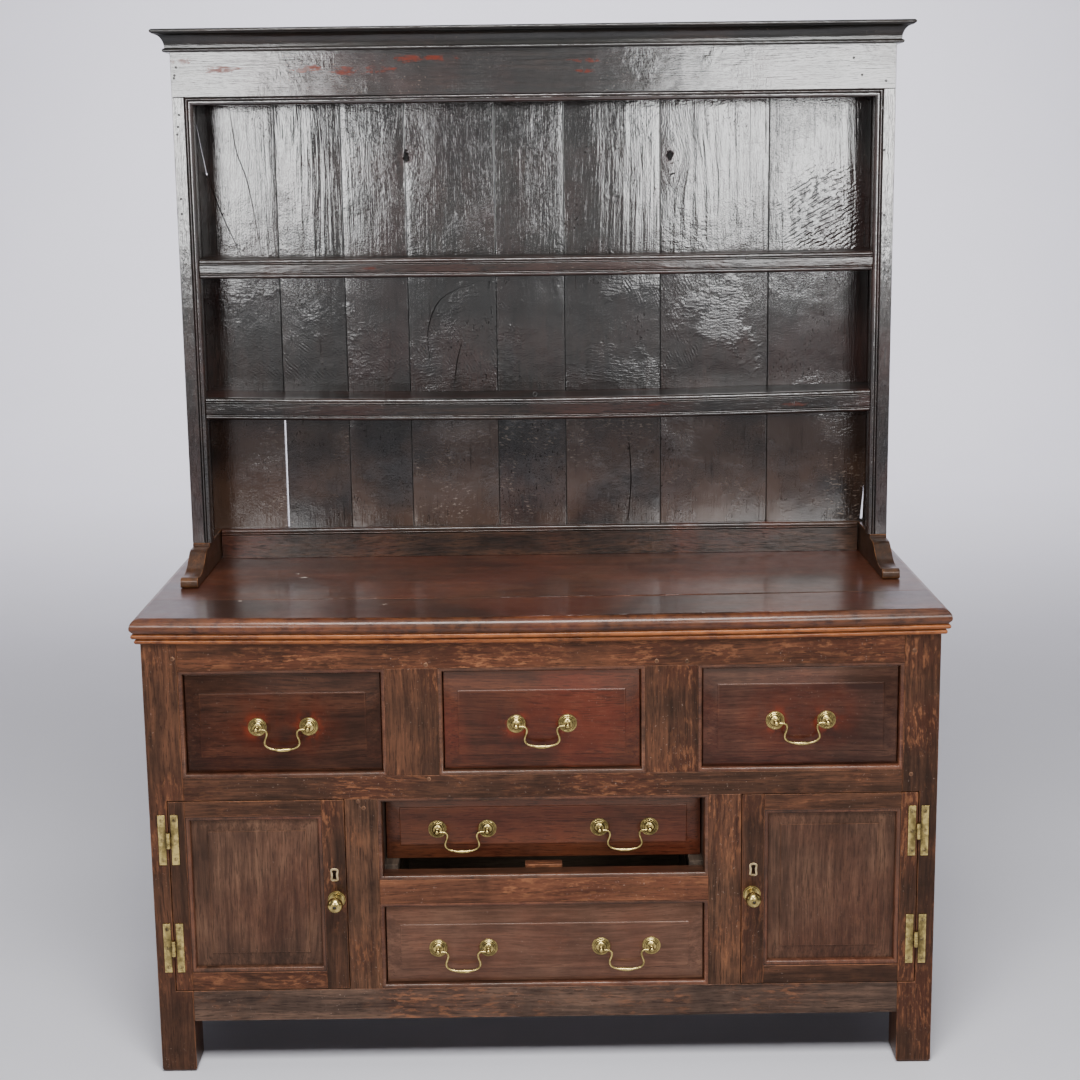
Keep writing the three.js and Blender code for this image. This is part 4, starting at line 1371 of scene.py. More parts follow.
BEAD_SHARES = [
    (0.0, 0.0), (0.03, 0.03), (0.045, 0.3), (0.06, 0.55), (0.085, 0.6), (0.11, 0.45), (0.14, 0.2),
    (0.19, 0.06), (0.25, 0.02), (0.31, 0.06), (0.36, 0.2), (0.39, 0.42), (0.415, 0.58), (0.44, 0.6),
    (0.46, 0.45), (0.48, 0.28), (0.54, 0.22), (0.66, 0.23), (0.76, 0.3), (0.85, 0.45), (0.92, 0.66),
    (0.97, 0.85), (1.0, 1.0),
]


def beaded(width: float, depth: float) -> Outline:
    """Lay out a beaded edge: a quirk, a bead, a second quirk and a hollow down to the edge."""
    return [(across * width, deep * depth) for across, deep in BEAD_SHARES]


def trimmed(
    node: str, left: float = 0, right: float = 0, foot: float = 0, head: float = 0
) -> tuple[Vector, Vector]:
    """Take some of a node's width and height off its corners."""
    low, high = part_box(node)
    return low + Vector((left, 0, foot)), high - Vector((right, 0, head))


def sagging(half: float, depth: float) -> Dip:
    """Make a dip that is deepest in the middle and nothing at both ends."""
    return lambda x: depth * max(0.0, 1 - (x / half) ** 2)


def along_x(name: str, outline: Outline, ends: Point, steps: int, dip: Dip) -> Piece:
    """Draw an outline out along X, dipping as it goes.

    Args:
        name: The piece's name.
        outline: Its section on Y and Z.
        ends: Where it starts and ends along X.
        steps: The steps from end to end.
        dip: How far it dips at each place along X.

    Returns:
        The new piece.
    """
    return loft(name, [[(x, y, z - dip(x)) for y, z in outline] for x in spaced(*ends, steps)])


LEVEL = sagging(1.0, 0.0)


@dataclass
class BaseFrame:
    """Posts, rails and muntins of the base, and the lips round its drawer openings."""

    lip: float = 0.008
    lip_fall: float = 0.006
    lip_back: float = 0.032
    post_edge: float = 0.0022
    foot_wear: float = 0.007
    door_room: float = 0.0015
    top_bow: float = 0.0062
    peg_radius: float = 0.0042
    peg_sunk: float = 0.004
    pegs: tuple[tuple[float, float], ...] = (
        (-0.6775, 0.8183), (-0.2123, 0.8012), (0.2126, 0.8025), (0.2681, 0.8018), (0.6858, 0.8161),
        (0.6849, 0.5786), (-0.2116, 0.5811), (-0.3446, 0.539), (-0.3345, 0.5261),
    )
    stop_width: float = 0.070
    stop_depth: float = 0.022
    stop_height: float = 0.0055
    lip_nodes: dict[str, tuple[str, ...]] = field(default_factory=lambda: {
        "left": ("top_rail", "front_post_left"), "centre": ("top_rail", "middle_rail"),
        "right": ("top_rail", "front_post_right"), "upper": ("middle_rail", "drawer_rail"),
        "lower": ("drawer_rail", "bottom_rail"),
    })

    def build(self) -> None:
        """Make every member of the frame and the work on it."""
        for side in SIDES:
            self.post(side)
            self.muntins(side)
            low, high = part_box(f"back_post_{side}")
            post = block(f"back_post_{side}_board", low, high, self.post_edge)
            dress(post, FRAME_OAK.material(Grain.ALONG_Z), nodes=[f"back_post_{side}"])
        lip = self.lip
        for node, foot, head in (
            ("top_rail", lip, self.top_bow), ("middle_rail", lip, lip), ("bottom_rail", 0, lip),
            ("drawer_rail", lip, lip),
        ):
            low, high = trimmed(node, foot=foot, head=head)
            rail = block(f"{node}_board", low, high)
            dress(rail, FRAME_OAKS.get(node, FRAME_OAK).material(Grain.ALONG_X), nodes=[node])
        self.lips()
        self.pegs_in_joints()
        self.drawer_stop()

    def post(self, side: str) -> None:
        """Make a front post, cut back where the door closes over it and worn round at its foot.

        Args:
            side: The side of the dresser.
        """
        low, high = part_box(f"front_post_{side}")
        hand = SIDES[side]
        door_low, door_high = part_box(f"door_frame_{side}")
        if hand < 0:
            high.x -= self.lip
        else:
            low.x += self.lip
        post = block(f"front_post_{side}_board", low, high, 0)
        room = Vector.Fill(3, self.door_room)
        door_low.y = low.y
        carve(post, block("door_recess", door_low - room, door_high + room, 0))
        self.round_foot(post)
        soften(post, self.post_edge)
        dress(post, FRAME_OAK.material(Grain.ALONG_Z), nodes=[f"front_post_{side}"])

    def round_foot(self, post: Piece) -> None:
        """Bevel the edges round the foot of a post more than the rest.

        Args:
            post: The post.
        """
        alone(post)
        bpy.ops.object.mode_set(mode="EDIT")
        bpy.ops.mesh.select_all(action="DESELECT")
        mesh = bmesh.from_edit_mesh(post.data)
        for edge in mesh.edges:
            edge.select_set(all(vert.co.z < MERGE for vert in edge.verts))
        bmesh.update_edit_mesh(post.data)
        bpy.ops.mesh.bevel(offset=self.foot_wear, segments=3)
        bpy.ops.object.mode_set(mode="OBJECT")

    def muntins(self, side: str) -> None:
        """Make the upright members on one side of the middle.

        Args:
            side: The side of the dresser.
        """
        for level, outer_lip in (("upper", self.lip), ("lower", 0.0)):
            node = f"{level}_muntin_{side}"
            trims = (self.lip, outer_lip) if SIDES[side] > 0 else (outer_lip, self.lip)
            low, high = trimmed(node, *trims)
            board = block(f"{node}_board", low, high)
            finish = FRAME_OAKS.get(f"{level}_muntin", FRAME_OAK)
            dress(board, finish.material(Grain.ALONG_Z), nodes=[node])

    def lip_profile(self) -> Outline:
        """Lay out the section of a lip: a fine quirk, then an ovolo falling to the opening.

        Returns:
            Distances into the opening with depths behind the face.
        """
        flat, fall = 0.0024, self.lip_fall
        ovolo = arc((flat, fall), (self.lip - flat, fall - 0.0002), 270, 360, 6)
        quirk = ((-0.0004, self.lip_back), (-0.0004, 0.0012), (0.0006, 0.0010), (0.0010, 0.0002))
        return [*quirk, *ovolo, (self.lip, self.lip_back)]

    def openings(self) -> dict[str, Opening]:
        """Find each drawer opening's left, right, foot and head before its lip is worked.

        Returns:
            The openings, by the drawer's name.
        """
        rail_head = trimmed("top_rail", foot=self.lip)[0].z
        middle_low, middle_high = trimmed("middle_rail", foot=self.lip, head=self.lip)
        bottom_head = trimmed("bottom_rail", head=self.lip)[1].z
        short_low, short_high = trimmed("drawer_rail", foot=self.lip, head=self.lip)
        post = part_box("front_post_right")[0].x + self.lip
        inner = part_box("upper_muntin_right")[0].x + self.lip
        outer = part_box("upper_muntin_right")[1].x - self.lip
        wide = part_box("lower_muntin_right")[0].x + self.lip
        return {
            "left": (-post, -outer, middle_high.z, rail_head),
            "centre": (-inner, inner, middle_high.z, rail_head),
            "right": (outer, post, middle_high.z, rail_head),
            "upper": (-wide, wide, short_high.z, middle_low.z),
            "lower": (-wide, wide, bottom_head, short_low.z),
        }

    def lips(self) -> None:
        """Run the lip round each drawer opening."""
        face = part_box("bottom_rail")[0].y
        for name, opening in self.openings().items():
            lip = mitred_frame(f"lip_{name}", opening, self.lip_profile(), face)
            dress(lip, FRAME_LIP.material(Grain.ALONG_X), nodes=self.lip_nodes[name])

    def pegs_in_joints(self) -> None:
        """Drive an oak peg into each joint of the frame that shows one."""
        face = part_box("bottom_rail")[0].y
        r = self.peg_radius
        profile = [(r, -self.peg_sunk), (r, 0.0), (r * 0.8, 0.0007), (r * 0.4, 0.0009)]
        for i, (x, z) in enumerate(self.pegs):
            peg = turned(f"peg_{i + 1}", profile, (x, face, z), 14)
            dress(peg, PEG_OAK.material(Grain.ALONG_Y))

    def drawer_stop(self) -> None:
        """Nail the stop of the upper wide drawer on the rail below it."""
        low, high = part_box("drawer_rail")
        back = low.y + self.lip_back + self.stop_depth
        corners = (-self.stop_width / 2, back - self.stop_depth, high.z - 0.0005)
        stop = block("drawer_stop", corners, (self.stop_width / 2, back, high.z + self.stop_height), 0.001)
        dress(stop, FRAME_OAK.material(Grain.ALONG_X))


@dataclass
class BaseBoards:
    """Ends, back and inner boards of the base."""

    rail: float = 0.030
    panel_inset: float = 0.010
    panel_thickness: float = 0.010
    rails: tuple[tuple[float, float], ...] = ((0.104, 0.165), (0.544, 0.588), (0.794, 0.8645))
    back_boards: int = 6
    gap: float = 0.0012

    def build(self) -> None:
        """Make the boards that close the base."""
        for side, hand in SIDES.items():
            self.end(side, hand)
        self.back()
        for node, grain in (
            ("cupboard_floor", Grain.ALONG_X), ("partition_left", Grain.ALONG_Y),
            ("partition_right", Grain.ALONG_Y), ("drawer_deck", Grain.ALONG_X),
        ):
            board = from_node(f"{node}_board", node, 0.0008, 2)
            dress(board, INNER_OAK.material(grain), nodes=[node])

    def end(self, side: str, hand: int) -> None:
        """Make an end: three rails and two thin panels.

        Args:
            side: The side of the dresser.
            hand: Its way along X.
        """
        node = f"end_panel_{side}"
        low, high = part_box(node)
        outer = high.x if hand > 0 else low.x
        for i, (foot, head) in enumerate(self.rails):
            x0, x1 = sorted((outer, outer - hand * self.rail))
            rail = block(f"end_rail_{side}_{i + 1}", (x0, low.y, foot), (x1, high.y, head))
            dress(rail, FRAME_OAK.material(Grain.ALONG_Y), nodes=[node])
        face = outer - hand * self.panel_inset
        x0, x1 = sorted((face, face - hand * self.panel_thickness))
        for i in range(len(self.rails) - 1):
            foot, head = self.rails[i][1], self.rails[i + 1][0]
            panel = block(f"end_board_{side}_{i + 1}", (x0, low.y, foot), (x1, high.y, head), 0.0005)
            dress(panel, PANEL_OAK.material(Grain.ALONG_Z), nodes=[node])

    def back(self) -> None:
        """Close the back with upright boards."""
        low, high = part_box("base_back")
        width = (high.x - low.x) / self.back_boards
        for i in range(self.back_boards):
            x0 = low.x + i * width
            corners = (x0 + self.gap / 2, low.y, low.z), (x0 + width - self.gap / 2, high.y, high.z)
            board = block(f"base_back_board_{i + 1}", *corners, 0.0012)
            dress(board, INNER_OAK.material(Grain.ALONG_Z), nodes=["base_back"])


@dataclass
class Top:
    """The two boards of the top, with a thumbnail edge, and the reeds below it."""

    bow: float = 0.0062
    bow_back: float = 0.12
    bow_front: float = 0.03
    joint: float = 0.0002
    edge: float = 0.0007
    reach: float = 0.014
    under_height: float = 0.010
    steps: int = 28
    reed_height: float = 0.022

    def dip(self, x: float, y: float, half: float) -> float:
        """Find how far the boards have bowed down, which is most at the middle of the front edge.

        Args:
            x: The place along X.
            y: The place along Y.
            half: Half the length of the boards.

        Returns:
            The dip.
        """
        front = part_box("top_board_front")[0].y
        towards_back = min(1.0, max(0.0, (y - front - self.bow_front) / (self.bow_back - front)))
        return self.bow * max(0.0, 1 - (x / half) ** 2) * (1 - towards_back)

    def build(self) -> None:
        """Make the boards and the reeds."""
        front_low, front_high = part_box("top_board_front")
        half = front_high.x
        flat = self.reach + 0.0006
        section = self.edge_section(front_low.z, front_high.z)
        back = front_high.y - self.joint
        insets = [(self.reach - out, z) for out, z in section]
        rings = [self.board_ring(half - inset, front_low.y + inset, back, z, half) for inset, z in insets]
        board = soften(loft("top_front_board", rings), self.edge, 2, THUMB_ANGLE)
        dress(board, TOP_OAK.material(Grain.ALONG_X), nodes=["top_board_front"])
        wear_more(board, 0.4, lambda co: co.y < front_low.y + flat or abs(co.x) > half - flat)
        back_low, back_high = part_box("top_board_back")
        front = back_low.y + self.joint
        rings = [self.board_ring(half - inset, front, back_high.y, z, half) for inset, z in insets]
        board = soften(loft("top_back_board", rings), self.edge, 2, THUMB_ANGLE)
        dress(board, TOP_OAK.material(Grain.ALONG_X), nodes=["top_board_back"])
        wear_more(board, 0.4, lambda co: abs(co.x) > half - flat)
        self.reeds(half)

    def edge_section(self, foot: float, head: float) -> Outline:
        """Lay out the thumbnail edge.

        Args:
            foot: The height of the board's underside.
            head: The height of its face.

        Returns:
            Reaches and heights from the foot to the head.
        """
        centre = (0.0, foot + self.under_height)
        under = arc(centre, (self.reach, self.under_height), -48, 0, 5)
        thumb = arc(centre, (self.reach, head - foot - self.under_height - 0.001), 0, 78, 9)
        return [(self.reach * 0.55, foot), *under[1:], *thumb[1:], (0.0005, head - 0.0004), (-0.0010, head)]

    def board_ring(self, half: float, front: float, back: float, z: float, full_half: float) -> Ring:
        """Lay out a board's outline at one height, with steps along it for the bow.

        Args:
            half: Half its length there.
            front: Its front.
            back: Its back.
            z: Its height before the bow.
            full_half: Half the length of the whole board.

        Returns:
            The outline.
        """
        xs = spaced(-half, half, self.steps)
        places = [(x, front) for x in xs] + [(x, back) for x in reversed(xs)]
        return [(x, y, z - self.dip(x, y, full_half)) for x, y in places]

    def reeds(self, half: float) -> None:
        """Run two reeds below the top, round its front and both ends.

        Args:
            half: Half the length of the top.
        """
        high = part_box("top_moulding")[1]
        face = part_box("bottom_rail")[0].y - 0.0003
        half_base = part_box("front_post_right")[1].x + 0.0003
        radius = self.reed_height / 4
        foot = high.z - self.reed_height
        middle = foot + self.reed_height / 2
        section = [
            (0.0, foot), (0.0022, foot), *arc((0.003, foot + radius), (radius, radius * 0.94), -80, 80, 8),
            (0.0058, middle - 0.0001), *arc((0.008, middle + radius), (radius, radius * 0.94), -80, 80, 8),
            (0.004, high.z), (0.0, high.z),
        ]
        rings = [[(-half_base - out, high.y, z) for out, z in section]]
        for i, x in enumerate(spaced(-half_base, half_base, self.steps)):
            lean = (i == self.steps) - (i == 0)
            ring = [(x + lean * out, face - out, z - self.dip(x, face - out, half)) for out, z in section]
            rings.append(ring)
        rings.append([(half_base + out, high.y, z) for out, z in section])
        reeds = loft("reeds_under_top", rings)
        dress(reeds, MOULDING_OAK.material(Grain.ALONG_X), nodes=["top_moulding"])
        wear_more(reeds, 0.5, lambda co: co.y < face - 0.004)


@dataclass
class Handle:
    """A swan-necked bail between two posts, each on a round stepped rose."""

    spacing: float = 0.095
    reach: float = 0.018
    ball: float = 0.0052
    gap: float = 0.0004
    wire: float = 0.0021
    swell: float = 0.75
    grip: float = 0.015
    drop: float = 0.039
    sides: int = 36
    wire_sides: int = 12
    rose: Outline = (
        (0.0175, 0.0), (0.0175, 0.0007), (0.0171, 0.0012), (0.0158, 0.0013), (0.0153, 0.0020),
        (0.0146, 0.0023), (0.0138, 0.0020), (0.0131, 0.0021), (0.0126, 0.0029), (0.0118, 0.0033),
        (0.0110, 0.0031), (0.0103, 0.0033), (0.0095, 0.0044), (0.0080, 0.0055), (0.0062, 0.0062),
        (0.0045, 0.0065), (0.0036, 0.0072), (0.0033, 0.0085), (0.0033, 0.0105), (0.0042, 0.0115),
        (0.0043, 0.0125), (0.0034, 0.0133),
    )
    bail_shares: Outline = (
        (1.0, 0.0), (0.93, 0.0), (0.85, 0.0), (0.76, 0.02), (0.69, 0.08), (0.665, 0.18), (0.68, 0.3),
        (0.72, 0.42), (0.755, 0.53), (0.767, 0.64), (0.745, 0.74), (0.68, 0.83), (0.58, 0.9), (0.44, 0.95),
        (0.27, 0.985), (0.12, 1.0), (0.0, 1.0),
    )

    def post_model(self) -> Piece:
        """Model one rose with its post, standing on the origin."""
        ball = arc((0.0, self.reach), (self.ball, self.ball), -50, 84, 9)
        return turned("handle_post_model", [*self.rose, *ball], (0.0, 0.0, 0.0), self.sides)

    def bail_model(self) -> Piece:
        """Model one bail, hanging below the origin between its two posts.

        Returns:
            The bail.
        """
        end = self.spacing / 2 - self.ball - self.gap
        half = [(across * end, -down * self.drop) for across, down in self.bail_shares]
        mirrored = [(-x, z) for x, z in reversed(half[:-1])]
        path = smooth_path([*half, *mirrored], 4)
        rings = []
        for i, (x, z) in enumerate(path):
            before, after = path[max(0, i - 1)], path[min(len(path) - 1, i + 1)]
            way = Vector((after[0] - before[0], after[1] - before[1])).normalized()
            rings.append(self.bail_ring(x, z, way))
        return loft("bail_model", rings)

    def bail_ring(self, x: float, z: float, way: Vector) -> Ring:
        """Lay out one section of the bail, which is thicker over the grip.

        Args:
            x: The middle of the section along X.
            z: Its middle along Z.
            way: The way that the wire runs there.

        Returns:
            The section.
        """
        along = min(1.0, abs(x) / self.grip) if z < -self.drop * 0.9 else 1.0
        radius = self.wire * (1 + self.swell * (1 - along * along))
        section = circle(radius, self.wire_sides)
        return [(x - way.y * out, back, z + way.x * out) for out, back in section]


@dataclass
class Drawers:
    """Five drawers with fielded fronts, plain boxes and brass handles."""

    setback: float = 0.002
    recess: float = 0.053
    front: float = 0.024
    fall: float = 0.007
    step: float = 0.0015
    side_bevel: float = 0.027
    head_bevel: float = 0.029
    deep_head_bevel: float = 0.035
    deep: tuple[str, ...] = ("left", "centre", "lower")
    wall: float = 0.012
    ease: float = 0.001
    side_drop: float = 0.014
    floor_rise: float = 0.007
    floor: float = 0.009
    bail_head: float = 0.0025
    handle: Handle = field(default_factory=Handle)
    handles: dict[str, tuple[str, ...]] = field(default_factory=lambda: {
        "left": ("",), "centre": ("",), "right": ("",), "upper": ("_left", "_right"),
        "lower": ("_left", "_right"),
    })

    def build(self) -> None:
        """Make every drawer and hang its handles."""
        post = self.handle.post_model()
        bail = self.handle.bail_model()
        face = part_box("bottom_rail")[0].y + self.setback
        for name, hands in self.handles.items():
            node = f"drawer_{name}"
            low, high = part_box(node)
            low.y = face + (self.recess if name == "upper" else 0.0)
            places = [self.pivot(f"bail_{name}{hand}") for hand in hands]
            half = self.handle.spacing / 2
            posts = [(x + way * half, low.y, z) for x, z in places for way in (-1, 1)]
            self.fielded_front(name, low, high, posts)
            self.box(name, low, high)
            for i, place in enumerate(posts):
                rose = copied(post, f"handle_post_{name}_{i + 1}", place)
                dress(rose, BRASS.material(), node, [node])
            for hand, (x, z) in zip(hands, places):
                body = f"bail_{name}{hand}"
                hung = copied(bail, f"{body}_wire", (x, low.y - self.handle.reach, z))
                dress(hung, BRASS.material(), body, [body])
        for model in (post, bail):
            bpy.data.objects.remove(model, do_unlink=True)

    def pivot(self, node: str) -> Point:
        """Find the middle of a bail and the height that it hangs from."""
        low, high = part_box(node)
        return (low.x + high.x) / 2, high.z - self.bail_head

    def fielded_front(self, name: str, low: Vector, high: Vector, posts: Sequence[Place]) -> None:
        """Make a drawer front whose field stands up from a broad bevel all round.

        Args:
            name: The drawer's name.
            low: The drawer's lowest corner, on its front's face.
            high: Its highest corner.
            posts: The places of its handles' posts.
        """
        face, step = low.y, self.step
        slope = face + step + self.fall
        head = self.deep_head_bevel if name in self.deep else self.head_bevel
        stages = [
            (0.0, 0.0, face + self.front), (0.0, 0.0, slope + 0.0018), (0.0, 0.0005, slope + 0.0006),
            (0.0, 0.0016, slope), (1.0, -0.0006, face + step + 0.0002),
            (1.0, -0.0001, face + step - 0.0003), (1.0, 0.0003, face + step * 0.55),
            (1.0, 0.0011, face + step * 0.24), (1.0, 0.0022, face + step * 0.06), (1.0, 0.0034, face),
        ]
        bevels = (self.side_bevel, self.side_bevel, self.head_bevel, head)
        front = fielded(f"drawer_front_{name}", (low.x, high.x, low.z, high.z), bevels, stages)
        finish = DRAWER_OAKS[name].material(Grain.ALONG_X, halos=posts if len(posts) == 2 else ())
        dress(front, finish, f"drawer_{name}", [f"drawer_{name}"])

    def box(self, name: str, low: Vector, high: Vector) -> None:
        """Make the sides, back and floor of a drawer.

        Args:
            name: The drawer's name.
            low: Its lowest corner.
            high: Its highest corner.
        """
        front = low.y + self.front
        x0, x1 = low.x + self.ease, high.x - self.ease
        back, head, w = high.y, high.z - self.side_drop, self.wall
        floor = low.z + self.floor_rise
        boards = {
            "side_left": ((x0, front, low.z), (x0 + w, back, head), Grain.ALONG_Y),
            "side_right": ((x1 - w, front, low.z), (x1, back, head), Grain.ALONG_Y),
            "back": ((x0 + w, back - w, low.z), (x1 - w, back, head), Grain.ALONG_X),
            "floor": ((x0 + w, front, floor), (x1 - w, back - w, floor + self.floor), Grain.ALONG_Y),
        }
        body = f"drawer_{name}"
        for part, (start, end, grain) in boards.items():
            board = block(f"drawer_{part}_{name}", start, end, 0.0008)
            dress(board, PLAIN_OAK.material(grain), body, [body])


@dataclass
class Door:
    """A framed door with its fielded panel, brass H hinges, knob and keyhole."""

    side: str
    hand: int = field(init=False)
    body: str = field(init=False)
    low: Vector = field(init=False)
    high: Vector = field(init=False)
    lock_stile: float = 0.042
    hinge_stile: float = 0.031
    top_rail: float = 0.031
    bottom_rail: float = 0.035
    lip: float = 0.009
    edge: float = 0.0011
    bevel_lock: float = 0.0215
    bevel_hinge: float = 0.0317
    bevel_head: float = 0.0204
    bevel_foot: float = 0.0292
    panel_front: float = 0.0052
    panel_step: float = 0.0016
    panel_edge: float = 0.0113
    panel_thickness: float = 0.008
    keyhole_height: float = 0.3948
    keyhole_in: float = 0.0217
    keyhole_depth: float = 0.012
    keyhole: Outline = (
        (0.0, 0.0094), (0.0034, 0.0090), (0.0046, 0.0076), (0.0044, 0.0056), (0.0035, 0.0030), (0.0033, 0.0),
        (0.0035, -0.0030), (0.0040, -0.0060), (0.0039, -0.0080), (0.0032, -0.0087), (0.0, -0.0088),
    )
    keyhole_rim: Outline = (
        (0.0, 0.0132), (0.0044, 0.0126), (0.0073, 0.0104), (0.0077, 0.0072), (0.0072, 0.0038), (0.0069, 0.0),
        (0.0071, -0.0040), (0.0076, -0.0078), (0.0073, -0.0104), (0.0044, -0.0126), (0.0, -0.0130),
    )
    thread_sunk: float = 0.004
    knob_sides: int = 40
    knob_ball: Point = (0.0149, 0.0119)
    knob_crown: float = 0.0122
    knob_neck: Outline = (
        (0.0168, 0.0), (0.0168, 0.0009), (0.0163, 0.0017), (0.0147, 0.0019), (0.0141, 0.0028),
        (0.0122, 0.0034), (0.0092, 0.0037), (0.0066, 0.0045), (0.0055, 0.0064), (0.0050, 0.0095),
        (0.0053, 0.0120), (0.0066, 0.0138), (0.0068, 0.0148), (0.0062, 0.0156),
    )
    knob_hollow: Outline = ((0.0029, -0.0003), (0.0026, -0.0008), (0.0025, -0.0026), (0.0010, -0.0027))
    knob_screw: Outline = ((0.0024, -0.0032), (0.0024, -0.0022), (0.0018, -0.0018), (0.0006, -0.0017))
    screw_head: Outline = (
        (0.0042, -0.0004), (0.0042, 0.00012), (0.0037, 0.00012), (0.0036, -0.0002), (0.0032, -0.0002),
        (0.0031, 0.0003), (0.0019, 0.0009), (0.0006, 0.0010),
    )
    screw_slot: tuple[Place, Place] = ((-0.0004, -0.002, -0.004), (0.0004, -0.0002, 0.004))
    screw_spacing: float = 0.038
    screw_in: float = 0.007
    leaf: float = 0.002

    def __post_init__(self) -> None:
        """Measure the door's place on the frame."""
        self.hand = SIDES[self.side]
        self.body = f"door_{self.side}"
        self.low, self.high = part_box(f"door_frame_{self.side}")

    def build(self) -> None:
        """Make the door with its fittings."""
        self.frame()
        self.panel()
        self.thread()
        self.knob()
        self.hinges()

    def sided(self, hinge: float, lock: float) -> Point:
        """Put the hinge side's measure and the lock side's in order from left to right."""
        return (lock, hinge) if self.hand > 0 else (hinge, lock)

    def opening(self) -> Opening:
        """Find the panel opening's left, right, foot and head.

        Returns:
            The opening.
        """
        left, right = self.sided(self.hinge_stile, self.lock_stile)
        low, high = self.low, self.high
        return low.x + left, high.x - right, low.z + self.bottom_rail, high.z - self.top_rail

    def frame(self) -> None:
        """Make the stiles and rails and the moulding round the panel."""
        low, high, node = self.low, self.high, f"door_frame_{self.side}"
        x0, x1, z0, z1 = self.opening()
        members = {
            "stile_left": ((low.x, low.z), (x0, high.z), Grain.ALONG_Z),
            "stile_right": ((x1, low.z), (high.x, high.z), Grain.ALONG_Z),
            "rail_bottom": ((x0, low.z), (x1, z0), Grain.ALONG_X),
            "rail_top": ((x0, z1), (x1, high.z), Grain.ALONG_X),
        }
        for name, ((ax, az), (bx, bz), grain) in members.items():
            board = block(f"door_{name}_{self.side}", (ax, low.y, az), (bx, high.y, bz), self.edge)
            if name == ("stile_right" if self.hand < 0 else "stile_left"):
                self.cut_keyhole(board)
            dress(board, FRAME_OAK.material(grain), self.body, [node])
        lip = self.lip
        profile = [
            (-0.0004, 0.0112), (-0.0004, 0.0012), (0.0004, 0.0009), (0.0008, 0.0021), (0.0016, 0.0023),
            *arc((0.0022, lip * 0.93), (lip - 0.0024, 0.0063), 274, 352, 8), (lip, 0.0086), (lip, 0.0112),
        ]
        moulding = mitred_frame(f"door_moulding_{self.side}", (x0, x1, z0, z1), profile, low.y)
        dress(moulding, FRAME_LIP.material(Grain.ALONG_Z), self.body, [node])

    def panel(self) -> None:
        """Make the fielded panel, its tongue held in the frame."""
        lip = self.lip
        x0, x1, z0, z1 = self.opening()
        edge, front = self.low.y + self.panel_edge, self.low.y + self.panel_front
        tongue = lip - 0.0005
        top = front - self.panel_step
        stages = [
            (0.0, -tongue, edge + self.panel_thickness), (0.0, -tongue, edge), (0.0, 0.0004, edge - 0.0001),
            (1.0, -0.0004, front + 0.0002), (1.0, -0.0001, front - 0.0002), (1.0, 0.0002, top + 0.0006),
            (1.0, 0.0006, top + 0.0001), (1.0, 0.0014, top),
        ]
        bevels = (*self.sided(self.bevel_hinge, self.bevel_lock), self.bevel_foot, self.bevel_head)
        outside = (x0 + lip, x1 - lip, z0 + lip, z1 - lip)
        panel = fielded(f"door_fielded_panel_{self.side}", outside, bevels, stages)
        nodes = [f"door_panel_{self.side}"]
        dress(panel, PANEL_OAK.material(Grain.ALONG_Z), self.body, nodes)

    def key_ring(self, outline: Outline, depth: float) -> Ring:
        """Lay a keyhole's outline round its middle, at a depth behind the door's face."""
        x = (self.high.x if self.hand < 0 else self.low.x) + self.hand * self.keyhole_in
        return [(x + a, self.low.y + depth, self.keyhole_height + b) for a, b in outline]

    def key_outline(self, half: Outline, grow: float = 0.0) -> Outline:
        """Complete a keyhole's outline from its right half, a little larger or smaller."""
        right = [(x + grow * (x > 0), z) for x, z in half]
        return [*right, *[(-x, z) for x, z in reversed(right[1:-1])]]

    def cut_keyhole(self, board: Piece) -> None:
        """Cut the keyhole into the lock stile.

        Args:
            board: The lock stile.
        """
        outline = self.key_outline(self.keyhole)
        rings = [self.key_ring(outline, depth) for depth in (-0.003, self.keyhole_depth)]
        carve(board, loft("key_cutter", rings))

    def thread(self) -> None:
        """Let a brass thread into the door round its keyhole."""
        inner, outer = self.key_outline(self.keyhole, -0.0003), self.key_outline(self.keyhole_rim)
        crown = [((a + c) / 2, (b + d) / 2) for (a, b), (c, d) in zip(inner, outer)]
        sunk = self.thread_sunk
        rows = [(inner, sunk), (outer, sunk), (outer, 0.0), (crown, -0.0008), (inner, -0.0004), (inner, sunk)]
        rings = [self.key_ring(outline, depth) for outline, depth in rows]
        rim = loft(f"keyhole_thread_{self.side}", rings, closed=True)
        dress(rim, RIM_BRASS.material(), self.body)

    def knob(self) -> None:
        """Turn a brass knob on its rose, hollow in the middle where its screw is sunk."""
        node = f"knob_{self.side}"
        low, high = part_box(node)
        centre = ((low.x + high.x) / 2, high.y, (low.z + high.z) / 2)
        reach = high.y - low.y
        ball = arc((0.0, reach - self.knob_crown), self.knob_ball, -58, 78, 16)
        profile = [*self.knob_neck, *ball, *[(radius, reach + depth) for radius, depth in self.knob_hollow]]
        knob = turned(f"turned_knob_{self.side}", profile, centre, self.knob_sides)
        dress(knob, BRASS.material(), self.body, [node])
        profile = [(radius, reach + depth) for radius, depth in self.knob_screw]
        screw = turned(f"knob_screw_{self.side}", profile, centre, 16)
        dress(screw, IRON.material(), self.body)

    def hinges(self) -> None:
        """Dress the leaves of the hinges and drive their screws."""
        screw = turned("screw_model", self.screw_head, (0.0, 0.0, 0.0), 18)
        carve(screw, block("slot_cutter", *self.screw_slot, 0))
        for level in ("upper", "lower"):
            for part, body, outward in (("post", CARCASE, self.hand), ("door", self.body, -self.hand)):
                node = f"{level}_hinge_{part}_leaf_{self.side}"
                leaf = from_node(f"{node}_plate", node, 0.0004, 2)
                dress(leaf, BRASS.material(), body, [node])
                self.drive_screws(screw, node, outward, body)
        bpy.data.objects.remove(screw, do_unlink=True)

